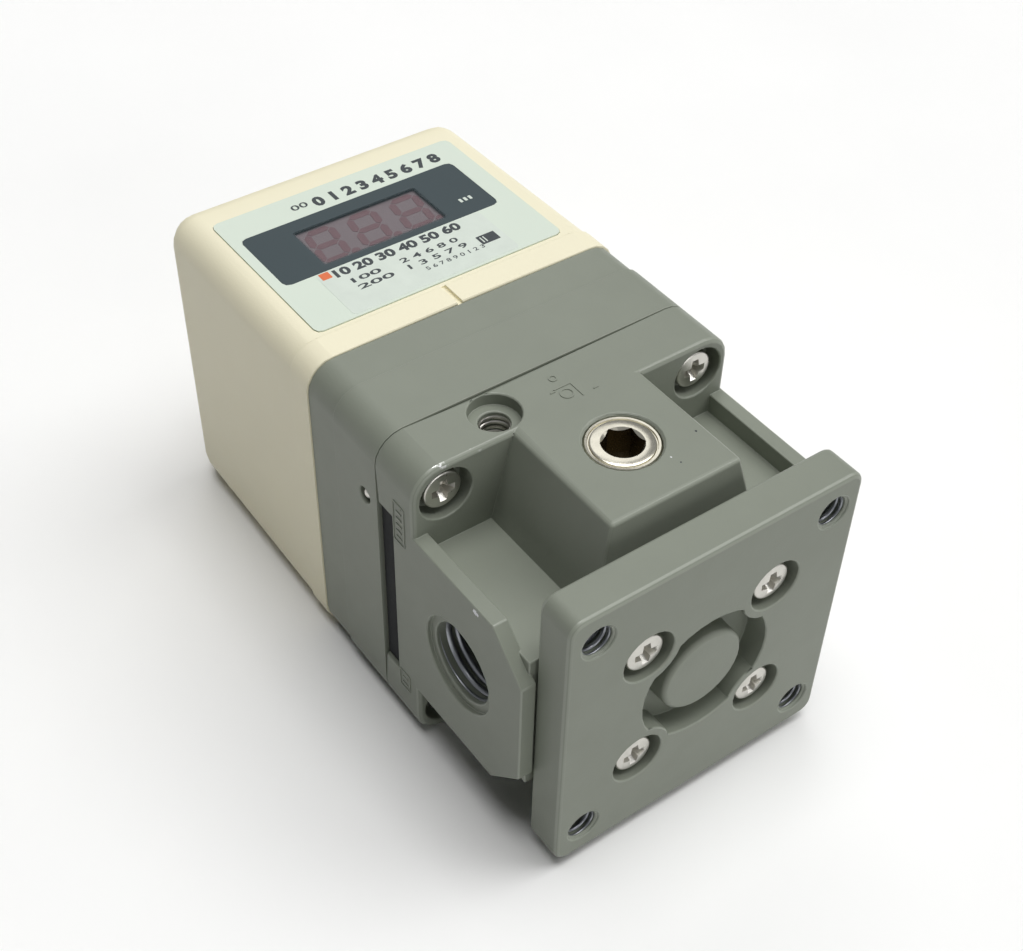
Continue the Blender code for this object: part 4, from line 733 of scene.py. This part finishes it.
class REGULATOR_OT_castings(bpy.types.Operator):
    """Finish the end plate, the port body and the two bands above it"""

    bl_idname = "regulator.castings"
    bl_label = "Castings"

    def execute(self, context):
        materials = [finish_for("grey_paint"), finish_for("worn_and_highlit_edge")]
        for node, seams in (("base_plate", (False, False)), ("body", (False, True)),
                            ("bonnet", (True, True)), ("valve_block", (True, True))):
            piece = node_copy(node, materials, sizes().edge_break, worn_and_highlit=True, seams=seams)
            declare(piece, "grey_paint", node)
        return {"FINISHED"}


class REGULATOR_OT_cover(bpy.types.Operator):
    """Finish the moulded cover"""

    bl_idname = "regulator.cover"
    bl_label = "Cover"

    def execute(self, context):
        piece = node_copy("cover", [finish_for("cream_moulding")], sizes().edge_break / 2,
                          seams=(True, False))
        declare(piece, "cream_moulding", "cover")
        return {"FINISHED"}


def recess_form():
    """A cross recess that narrows to its floor, cut from z 0 down, as one closed bmesh."""
    form = bmesh.new()
    rings = []
    # Shares of the full width, at the top and at the floor
    for height, share in ((RECESS_RISE, 1.08), (-RECESS_DEPTH, 0.45)):
        a = RECESS_ARM / 2 * share
        s = RECESS_SLOT / 2 * max(share, 0.7)
        w = s * 1.35
        outline = [(a, -s), (a, s), (w, w), (s, a), (-s, a), (-w, w), (-a, s), (-a, -s), (-w, -w),
                   (-s, -a), (s, -a), (w, -w)]
        rings.append([form.verts.new((x, y, height)) for x, y in outline])
    top, low = rings
    form.faces.new(top)
    form.faces.new(low[::-1])
    for i in range(len(top)):
        j = (i + 1) % len(top)
        form.faces.new((top[j], top[i], low[i], low[j]))
    bmesh.ops.recalc_face_normals(form, faces=form.faces)
    return form


def pan_head(low, high):
    """A pan head with its shank and cross recess, its top at the origin and facing local Z."""
    radius = (high.x - low.x) / 2
    flat = radius - HEAD_EDGE
    profile = [(flat * i / 4, -HEAD_CROWN * (i / 4) ** 2) for i in range(5)]
    profile += [(flat + HEAD_EDGE * math.sin(a), -HEAD_CROWN - HEAD_EDGE * (1 - math.cos(a)))
                for a in [i * math.pi / 8 for i in range(1, 5)]]
    profile += [(radius, -HEAD_HEIGHT + HEAD_CHAMFER), (radius - HEAD_CHAMFER, -HEAD_HEIGHT),
                (SHANK_RADIUS, -HEAD_HEIGHT), (SHANK_RADIUS, low.y - high.y), (0.0, low.y - high.y)]
    head = mesh_object("pan_head", turned_form(profile, 40), [])
    recess = mesh_object("pan_head_recess", recess_form(), [])
    cut = head.modifiers.new("recess", "BOOLEAN")
    cut.object = recess
    cut.solver = "EXACT"
    done = smooth(baked(head), SMOOTH_ANGLE)
    bpy.data.objects.remove(recess, do_unlink=True)
    return done


class REGULATOR_OT_screws(bpy.types.Operator):
    """Set the pan head screws in the end plate, the head's corners and the cover"""

    bl_idname = "regulator.screws"
    bl_label = "Screws"

    def execute(self, context):
        _trees["fasteners"] = fastener_tree()
        for name, count, turn in (("base_screw", 4, math.pi / 2), ("corner_screw", 4, math.pi / 2),
                                  ("cover_screw", 2, -math.pi / 2)):
            nodes = [f"{name}_{i}" for i in range(1, count + 1)]
            boxes = [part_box(node) for node in nodes]
            shape = pan_head(*boxes[0])
            form = bmesh.new()
            for low, high in boxes:
                form.verts.new(((low.x + high.x) / 2, low.y if turn > 0 else high.y,
                                (low.z + high.z) / 2))
            points = mesh_object(f"{name}_set", form, [])
            piece = run_tree(points, _trees["fasteners"],
                             {"Fastener": shape, "Turn": (turn, 0.0, 0.0),
                              "Material": finish_for("plated_steel")})
            bpy.data.objects.remove(shape, do_unlink=True)
            declare(piece, "plated_steel", *nodes)
        return {"FINISHED"}


class REGULATOR_OT_gauge_plug(bpy.types.Operator):
    """Make the nickel-plated socket plug of the gauge port"""

    bl_idname = "regulator.gauge_plug"
    bl_label = "Gauge port plug"

    def execute(self, context):
        radius = (PLUG_HIGH.x - PLUG_LOW.x) / 2 + PLUG_GROWTH
        depth = PLUG_HIGH.z - PLUG_LOW.z
        # From the middle out: the face, a ring groove, the rim with its chamfer and the side
        profile = [(0.0, 0.0), (radius * 0.80, 0.0), (radius * 0.84, -0.10 * MM),
                   (radius * 0.86, -0.32 * MM), (radius * 0.885, -0.32 * MM), (radius * 0.90, -0.12 * MM),
                   (radius * 0.955, -0.08 * MM), (radius, -0.35 * MM), (radius, -depth), (0.0, -depth)]
        plug = mesh_object("socket_plug", turned_form(profile, 72), [finish_for("nickel_plate")])
        across = SOCKET_FLATS / math.sqrt(3)
        socket = bmesh.new()
        bmesh.ops.create_cone(socket, cap_ends=True, segments=6, radius1=across, radius2=across,
                              depth=2 * SOCKET_DEPTH)
        hexagon = mesh_object("socket_hexagon", socket, [finish_for("tarnished_nickel")])
        mouth = bmesh.new()
        bmesh.ops.create_cone(mouth, cap_ends=True, segments=48, radius1=across * 0.84,
                              radius2=across * 1.12, depth=FUNNEL_HEIGHT)
        funnel = mesh_object("socket_mouth", mouth, [finish_for("nickel_plate")])
        for tool in (hexagon, funnel):
            cut = plug.modifiers.new(tool.name, "BOOLEAN")
            cut.object = tool
            cut.solver = "EXACT"
            cut.material_mode = "TRANSFER"
        plug.location = ((PLUG_LOW.x + PLUG_HIGH.x) / 2, (PLUG_LOW.y + PLUG_HIGH.y) / 2, PLUG_HIGH.z)
        for tool in (hexagon, funnel):
            tool.parent = plug
        piece = smooth(baked(plug), SMOOTH_ANGLE)
        for tool in (hexagon, funnel):
            bpy.data.objects.remove(tool, do_unlink=True)
        declare(piece, "nickel_plate", "gauge_port_plug")
        return {"FINISHED"}


class REGULATOR_OT_threads(bpy.types.Operator):
    """Wind the threads in the ports, the mounting holes and the side port"""

    bl_idname = "regulator.threads"
    bl_label = "Threads"

    def execute(self, context):
        _trees["thread"] = thread_tree()
        bare = finish_for("machined_aluminium")
        y_port = BODY_LOW.y + PORT_FROM_EDGE
        ports = [((-BODY_HALF + PORT_MOUTH, y_port, AXIS_Z), (-1, 0, 0)),
                 ((BODY_HALF - PORT_MOUTH, y_port, AXIS_Z), (1, 0, 0)),
                 ((0.0, y_port, BODY_LOW.z + PORT_MOUTH), (0, 0, -1))]
        threads = [thread_in(f"port_thread_{i}", *at, PORT_THREAD, sizes().port_pitch, bare)
                   for i, at in enumerate(ports)]
        declare(smooth(joined("port_threads", threads), THREAD_ANGLE), "machined_aluminium")
        holes = [((x, PLATE_LOW.y + MOUNT_MOUTH, AXIS_Z + z), (0, -1, 0))
                 for x in (-MOUNT_X, MOUNT_X) for z in (-MOUNT_Z, MOUNT_Z)]
        threads = [thread_in(f"mount_thread_{i}", *at, MOUNT_THREAD, sizes().screw_pitch, bare)
                   for i, at in enumerate(holes)]
        declare(smooth(joined("mounting_threads", threads), THREAD_ANGLE), "machined_aluminium")
        mouth = (SIDE_PORT_X, BODY_HIGH.y - SIDE_PORT_BACK, BODY_HIGH.z - SIDE_MOUTH)
        thread = thread_in("side_port_thread", mouth, (0, 0, 1), SIDE_THREAD, sizes().screw_pitch,
                           finish_for("plated_steel"))
        declare(smooth(thread, THREAD_ANGLE), "plated_steel")
        return {"FINISHED"}


def number_form(words, length, height, boldness):
    """Plain numbers as a flat bmesh plate, their lower left corner at the origin."""
    curve = bpy.data.curves.new("numbers", "FONT")
    curve.body = words
    curve.offset = boldness
    curve.extrude = 0.01
    curve.resolution_u = 3
    source = link(bpy.data.objects.new("numbers", curve))
    flat = baked(source)
    form = bmesh.new()
    form.from_mesh(flat.data)
    bpy.data.objects.remove(flat, do_unlink=True)
    low = Vector([min(v.co[i] for v in form.verts) for i in range(3)])
    high = Vector([max(v.co[i] for v in form.verts) for i in range(3)])
    form.transform(Matrix.Diagonal((length / (high.x - low.x), height / (high.y - low.y),
                                    sizes().print_lift / (high.z - low.z), 1.0))
                   @ Matrix.Translation(-low))
    return form


class REGULATOR_OT_label_print(bpy.types.Operator):
    """Lay the label film and print its rows of plain numbers, its squares and its patch"""

    bl_idname = "regulator.label_print"
    bl_label = "Label"

    def execute(self, context):
        sheet = node_copy("label", [finish_for("label_film")])
        reach_x = LABEL_HIGH.x - FILM_SIDE
        reach_y = (LABEL_HIGH.y - LABEL_LOW.y) / 2 - FILM_BORDER
        outer, inner = [], []
        for vert in sheet.data.vertices:
            off = vert.co - (LABEL_LOW + LABEL_HIGH) / 2
            edge = outer if abs(off.y) > reach_y or abs(off.x) > reach_x else inner
            edge.append(vert)
        shift_sheet(outer, (-SHEET_GROWTH, -SHEET_GROWTH), (SHEET_GROWTH, SHEET_GROWTH))
        shift_sheet(inner, CUTOUT_LOW, CUTOUT_HIGH)
        declare(sheet, "label_film", "label")
        inks = [ink("screen_ink", full(colours().print_ink)), ink("orange_ink", linear("DC6E3C")),
                ink("pale_patch_ink", linear("D2DBD1"))]
        form = bmesh.new()
        lift = sizes().print_lift
        for x, y, width, height, corner, layers, kind in PRINT_PATCHES:
            patch = plate_outline(rounded_rectangle(width, height, corner, steps=3), lift)
            add_form(form, patch, on_label(x, y, layers * lift), kind)
        for x, y, length, height, boldness, words in PRINT_ROWS:
            add_form(form, number_form(words, length, height, boldness), on_label(x, y, lift / 2), DARK)
        for places, y, width, height, corner, layers in PRINT_BARS:
            for x in places:
                bar = plate_outline(rounded_rectangle(width, height, corner, steps=2), lift)
                add_form(form, bar, on_label(x, y, layers * lift), PALE)
        declare(mesh_object("label_printing", form, inks), "label_film")
        return {"FINISHED"}


DARK, ORANGE, PALE = range(3)      # the inks
# Patches: middle across, height over the near edge, width, height, corner radius, layers below, ink
PRINT_PATCHES = [
    (-0.5 * MM, 5.4 * MM, 27.0 * MM, 10.3 * MM, 0.6 * MM, 0, PALE),
    (-12.8 * MM, 9.7 * MM, 1.5 * MM, 1.5 * MM, 0.1 * MM, 1, ORANGE),
    (10.5 * MM, 4.5 * MM, 3.0 * MM, 2.0 * MM, 0.1 * MM, 1, DARK),
]
# Pale bars: middles across, height over the near edge, width, height, corner radius, layers below
PRINT_BARS = [
    ((9.5 * MM, 10.0 * MM), 4.5 * MM, 0.2 * MM, 1.3 * MM, 0.05 * MM, 2),
    ((12.5 * MM, 13.3 * MM, 14.1 * MM), 14.2 * MM, 0.45 * MM, 0.9 * MM, 0.1 * MM, 1),
]
# Rows of print: left end, height over the near edge, length, height, boldness and numbers
PRINT_ROWS = [
    (-8.6 * MM, 25.5 * MM, 2.6 * MM, 1.3 * MM, 0.01, "00"),
    (-5.2 * MM, 24.5 * MM, 21.5 * MM, 2.5 * MM, 0.05, "0 1 2 3 4 5 6 7 8"),
    (-11.6 * MM, 8.4 * MM, 20.5 * MM, 1.9 * MM, 0.045, "10 20 30 40 50 60"),
    (-10.4 * MM, 6.2 * MM, 4.6 * MM, 1.1 * MM, 0.02, "100"),
    (-2.6 * MM, 6.2 * MM, 9.4 * MM, 1.1 * MM, 0.02, "2 4 6 8 0"),
    (-10.4 * MM, 4.4 * MM, 5.6 * MM, 1.1 * MM, 0.02, "200"),
    (-2.4 * MM, 4.4 * MM, 9.6 * MM, 1.1 * MM, 0.02, "1 3 5 7 9"),
    (-0.6 * MM, 2.9 * MM, 9.6 * MM, 0.8 * MM, 0.01, "5 6 7 8 9 0 1 2 3"),
]


def segment_form(length, width):
    """One bar of a seven-segment digit with pointed ends, along X."""
    half, reach = width / 2, length / 2
    points = [(-reach, 0.0), (-reach + half, -half), (reach - half, -half), (reach, 0.0),
              (reach - half, half), (-reach + half, half)]
    return plate_outline(points, SEGMENT_THICKNESS)


def digit_form(height):
    """A seven-segment figure eight with its point, leaning to the right."""
    width, bar = height * 0.55, height * 0.16
    form = bmesh.new()
    slant = Matrix.Shear("XZ", 4, (0.0, 0.0))
    slant[0][1] = DIGIT_SLANT
    for y in (-height / 2, 0.0, height / 2):
        add_form(form, segment_form(width * 0.94, bar), slant @ Matrix.Translation((0, y, 0)))
    for x in (-width / 2, width / 2):
        for y in (-height / 4, height / 4):
            turn = Matrix.Translation((x, y, 0)) @ Matrix.Rotation(math.pi / 2, 4, "Z")
            add_form(form, segment_form(height / 2 * 0.92, bar), slant @ turn)
    dot = plate_outline([(bar * 0.6 * math.cos(a), bar * 0.6 * math.sin(a))
                         for a in [i * math.pi / 6 for i in range(12)]], SEGMENT_THICKNESS)
    add_form(form, dot, slant @ Matrix.Translation((width * 0.78, -height / 2, 0)))
    return form


class REGULATOR_OT_display(bpy.types.Operator):
    """Set the three digits on the display's face and the smoked window over them"""

    bl_idname = "regulator.display"
    bl_label = "Display"

    def execute(self, context):
        digits = ink("unlit_segments", full(colours().digits))
        form = bmesh.new()
        middle_y = (DISPLAY_LOW.y + DISPLAY_HIGH.y) / 2
        width, length = DISPLAY_HIGH.x - DISPLAY_LOW.x, DISPLAY_HIGH.y - DISPLAY_LOW.y
        face = plate_outline(rounded_rectangle(width, length, 0.2 * MM), FACE_THICKNESS)
        across, along = (DISPLAY_LOW.x + DISPLAY_HIGH.x) / 2, middle_y - LABEL_LOW.y
        add_form(form, face, on_label(across, along, -FACE_SINK), 1)
        for x in DIGIT_PLACES:
            add_form(form, digit_form(sizes().digit_height), on_label(x, along, -DIGIT_SINK))
        declare(mesh_object("display_digits", form, [digits, finish_for("display_face")]), "display_face")
        window = node_copy("display_window", [finish_for("smoked_window")])
        shift_sheet(window.data.vertices, WINDOW_STEP_LOW, WINDOW_STEP_HIGH)
        for vert in window.data.vertices:
            under = WINDOW_HIGH.z - math.tan(LABEL_TILT) * (vert.co.y - WINDOW_LOW.y) - vert.co.z
            if under > WINDOW_CORE:
                vert.co.z += WINDOW_THINNING
        declare(window, "smoked_window", "display_window")
        return {"FINISHED"}


class REGULATOR_OT_vent_slot_shade_strips(bpy.types.Operator):
    """Lay a black strip in each vent slot of the port body, as painted shade for the dark inside of the
    slot
    """

    bl_idname = "regulator.vent_filters"
    bl_label = "Painted vent slot shade"

    def execute(self, context):
        form = bmesh.new()
        for side in (-1, 1):
            made = bmesh.ops.create_cube(form, size=1.0)
            place = Vector((side * (BODY_HALF - VENT_RECESS - SHADE_STRIP_SIZE.x / 2),
                            BODY_HIGH.y - SHADE_STRIP_BACK, AXIS_Z))
            bmesh.ops.transform(form, verts=made["verts"],
                                matrix=Matrix.LocRotScale(place, None, SHADE_STRIP_SIZE))
        # black strips in the nitrile finish: painted shade in the vent slots
        declare(mesh_object("vent_filters", form, [finish_for("black_rubber")]), "black_rubber")
        return {"FINISHED"}


def ring_form(radius):
    """A flat ring of a cast mark round the origin."""
    inner, outer = radius - MARK_WIDTH / 2, radius + MARK_WIDTH / 2
    return turned_form([(inner, 0.0), (inner, MARK_HEIGHT), (outer, MARK_HEIGHT), (outer, 0.0),
                        (inner, 0.0)], 24)


class REGULATOR_OT_relief_marks(bpy.types.Operator):
    """Raise the small cast marks on the head's front and beside the vent slot"""

    bl_idname = "regulator.relief_marks"
    bl_label = "Cast marks"

    def execute(self, context):
        form = bmesh.new()

        def line(turn, x, y, length, across):
            bar = plate_outline(rounded_rectangle(length, across, min(length, across) * 0.4, steps=2),
                                MARK_HEIGHT)
            add_form(form, bar, turn @ Matrix.Translation((x, y, -MARK_SINK)))

        top = Matrix.Translation((0, 0, BODY_HIGH.z))
        for x, y, radius in FRONT_RINGS:
            add_form(form, ring_form(radius), top @ Matrix.Translation((x, y, -MARK_SINK)))
        for x, y, length, across in FRONT_LINES:
            line(top, x, y, length, across)
        turn = Euler((math.pi / 2, 0, -math.pi / 2)).to_matrix().to_4x4()
        side = Matrix.Translation((BODY_LOW.x, 0, 0)) @ turn
        for low_z, high_z in SIDE_FRAMES:
            height = high_z - low_z
            for y in (FRAME_Y - FRAME_WIDTH / 2, FRAME_Y + FRAME_WIDTH / 2):
                line(side, y, (low_z + high_z) / 2, MARK_WIDTH, height)
            for z in (low_z, high_z):
                line(side, FRAME_Y, z, FRAME_WIDTH, MARK_WIDTH)
            for i in range(int(height / BAR_PITCH)):
                line(side, FRAME_Y, low_z + BAR_START + i * BAR_PITCH, BAR_LENGTH, MARK_WIDTH * 1.6)
        declare(mesh_object("cast_marks", form, [finish_for("grey_paint")]), "grey_paint")
        return {"FINISHED"}


# Marks on the head's front: rings by place and radius, lines by place, length and width
FRONT_RINGS = metres([(-0.15, -18.2, 0.5), (-0.35, -21.5, 0.85)])
FRONT_LINES = metres([(-1.75, -20.4, 0.8, 0.2), (-0.15, -20.1, 2.6, 0.2), (1.2, -21.55, 0.2, 2.9),
                      (3.4, -22.6, 0.8, 0.2)])
# Frames of bars beside the vent slot, by their lower and upper ends
SIDE_FRAMES = metres([(36.5, 43.2), (7.6, 10.8)])
FRAME_Y = 20.3 * MM
FRAME_WIDTH = 2.4 * MM
BAR_PITCH = 1.1 * MM
BAR_START = 0.9 * MM
BAR_LENGTH = 1.3 * MM


class REGULATOR_OT_round_pieces(bpy.types.Operator):
    """Smooth the connector, the ball and the other pieces that show from outside"""

    bl_idname = "regulator.round_pieces"
    bl_label = "Connector and small pieces"

    def execute(self, context):
        for node, slot in (("connector_shell", "plated_steel"), ("connector_insert", "black_plastic"),
                           ("ball_plug", "plated_steel")):
            declare(node_copy(node, [finish_for(slot)]), slot, node)
        return {"FINISHED"}


class REGULATOR_OT_finishes(bpy.types.Operator):
    """Give every carried-over piece the material of its finish"""

    bl_idname = "regulator.finishes"
    bl_label = "Finishes"

    def execute(self, context):
        for subpart in frame["record"]["subparts"]:
            for held in frame["nodes"][subpart["node"]].material_slots:
                held.material = finish_for(subpart["material_slot"])
        return {"FINISHED"}


# Studio

CAMERA_PLACE = Vector((-96.906, -140.113, 183.526)) * MM
CAMERA_AIM = Vector((0.42450, 0.57043, -0.70315))
CAMERA_ROLL = math.radians(1.483)
CAMERA_LENS = 56.83      # for a sensor 36 mm wide
CAMERA_SHIFT = 0.0159
# Soft lights of the room: azimuth from +X and elevation in degrees, strength
LIGHTS = ((0, 90, 1.77), (338, 60, 0.94), (335, 34, 0.46), (272, 15, 0.56), (60, 45, 0.36))
LIGHT_SPREAD = math.radians(36)
ROOM_LEVEL = 0.02          # light that the walls of the room give
ROOM_REFLECTED = 0.34      # and how bright they are in a reflection
FLOOR_HALF = 1.5
FLOOR_BOUNCE = 0.82        # share of the floor's paleness that lights the part


def floor_material(colour):
    """Matt white paper: pale to the camera and in reflections, and darker as a source of light."""
    made, tree, shader, place = start("white_paper", {"Roughness": 0.9, "Specular IOR Level": 0.1})
    pale = mottle(tree, place, 60 * MM, shade(colour, 0.97), shade(colour, 1.03))
    rays = add(tree, "ShaderNodeLightPath")
    seen = add(tree, "ShaderNodeMath", {"operation": "MAXIMUM"},
               {0: rays.outputs["Is Camera Ray"], 1: rays.outputs["Is Glossy Ray"]})
    mixed = add(tree, "ShaderNodeMix", {"data_type": "RGBA", 6: shade(colour, FLOOR_BOUNCE)},
                {0: seen.outputs[0], 7: pale})
    tree.links.new(mixed.outputs[2], shader.inputs["Base Color"])
    grain(tree, shader, place, 4 * MM, 0.05 * MM)
    return made


class REGULATOR_OT_stage(bpy.types.Operator):
    """Lay the floor and set up the lights, the world and the camera"""

    bl_idname = "regulator.stage"
    bl_label = "Studio"

    def execute(self, context):
        scene = context.scene
        form = bmesh.new()
        bmesh.ops.create_grid(form, x_segments=1, y_segments=1, size=FLOOR_HALF)
        floor = mesh_object("floor", form, [floor_material(full(colours().floor))])
        world = bpy.data.worlds.new("studio")
        scene.world = world
        world.use_nodes = True
        tree = world.node_tree
        sky = tree.nodes["Background"]
        sky.inputs["Color"].default_value = linear("F4F5F8")
        rays = add(tree, "ShaderNodeLightPath")
        level = add(tree, "ShaderNodeMapRange", {"To Min": ROOM_LEVEL, "To Max": ROOM_REFLECTED},
                    {"Value": rays.outputs["Is Glossy Ray"]})
        seen = add(tree, "ShaderNodeMath", {"operation": "MAXIMUM"},
                   {0: rays.outputs["Is Camera Ray"], 1: level.outputs["Result"]})
        tree.links.new(seen.outputs[0], sky.inputs["Strength"])
        for number, (azimuth, elevation, strength) in enumerate(LIGHTS, 1):
            lamp = bpy.data.lights.new(f"soft_light_{number}", "SUN")
            lamp.angle = LIGHT_SPREAD
            lamp.energy = strength
            shone = link(bpy.data.objects.new(f"soft_light_{number}", lamp))
            shone.rotation_euler = Euler((0, math.radians(90 - elevation), math.radians(azimuth)))
        view = bpy.data.cameras.new("photo_view")
        view.lens = CAMERA_LENS
        view.sensor_width = 36.0
        view.shift_y = CAMERA_SHIFT
        view.clip_start = 0.01
        camera = link(bpy.data.objects.new("photo_view", view))
        camera.location = CAMERA_PLACE
        turn = CAMERA_AIM.to_track_quat("-Z", "Y").to_matrix().to_4x4()
        camera.rotation_euler = (turn @ Matrix.Rotation(CAMERA_ROLL, 4, "Z")).to_euler()
        scene.camera = camera
        scene.view_settings.view_transform = "Standard"
        return {"FINISHED"}


class REGULATOR_PT_panel(bpy.types.Panel):
    """Lists the pieces of the regulator"""

    bl_label = "Regulator"
    bl_space_type = "VIEW_3D"
    bl_region_type = "UI"
    bl_category = "Regulator"

    def draw(self, context):
        for group in (context.scene.regulator_sizes, context.scene.regulator_colours):
            for name in group.__annotations__:
                self.layout.prop(group, name)
        for kind in OPERATORS:
            self.layout.operator(kind.bl_idname)


OPERATORS = (REGULATOR_OT_finishes, REGULATOR_OT_castings, REGULATOR_OT_cover, REGULATOR_OT_screws,
             REGULATOR_OT_gauge_plug, REGULATOR_OT_threads, REGULATOR_OT_label_print,
             REGULATOR_OT_display, REGULATOR_OT_vent_slot_shade_strips, REGULATOR_OT_relief_marks,
             REGULATOR_OT_round_pieces, REGULATOR_OT_stage)
CLASSES = (RegulatorSizes, RegulatorColours) + OPERATORS + (REGULATOR_PT_panel,)


def register():
    """Register the classes and hang the settings on the scene."""
    for kind in CLASSES:
        bpy.utils.register_class(kind)
    bpy.types.Scene.regulator_sizes = bpy.props.PointerProperty(type=RegulatorSizes)
    bpy.types.Scene.regulator_colours = bpy.props.PointerProperty(type=RegulatorColours)


def unregister():
    """Take the settings and the classes away again."""
    del bpy.types.Scene.regulator_colours
    del bpy.types.Scene.regulator_sizes
    for kind in reversed(CLASSES):
        bpy.utils.unregister_class(kind)


def main():
    """Build every piece in order."""
    register()
    bpy.ops.regulator.finishes()
    bpy.ops.regulator.castings()
    bpy.ops.regulator.cover()
    bpy.ops.regulator.screws()
    bpy.ops.regulator.gauge_plug()
    bpy.ops.regulator.threads()
    bpy.ops.regulator.label_print()
    bpy.ops.regulator.display()
    bpy.ops.regulator.vent_filters()
    bpy.ops.regulator.relief_marks()
    bpy.ops.regulator.round_pieces()
    bpy.ops.regulator.stage()


if __name__ == "__main__":
    main()
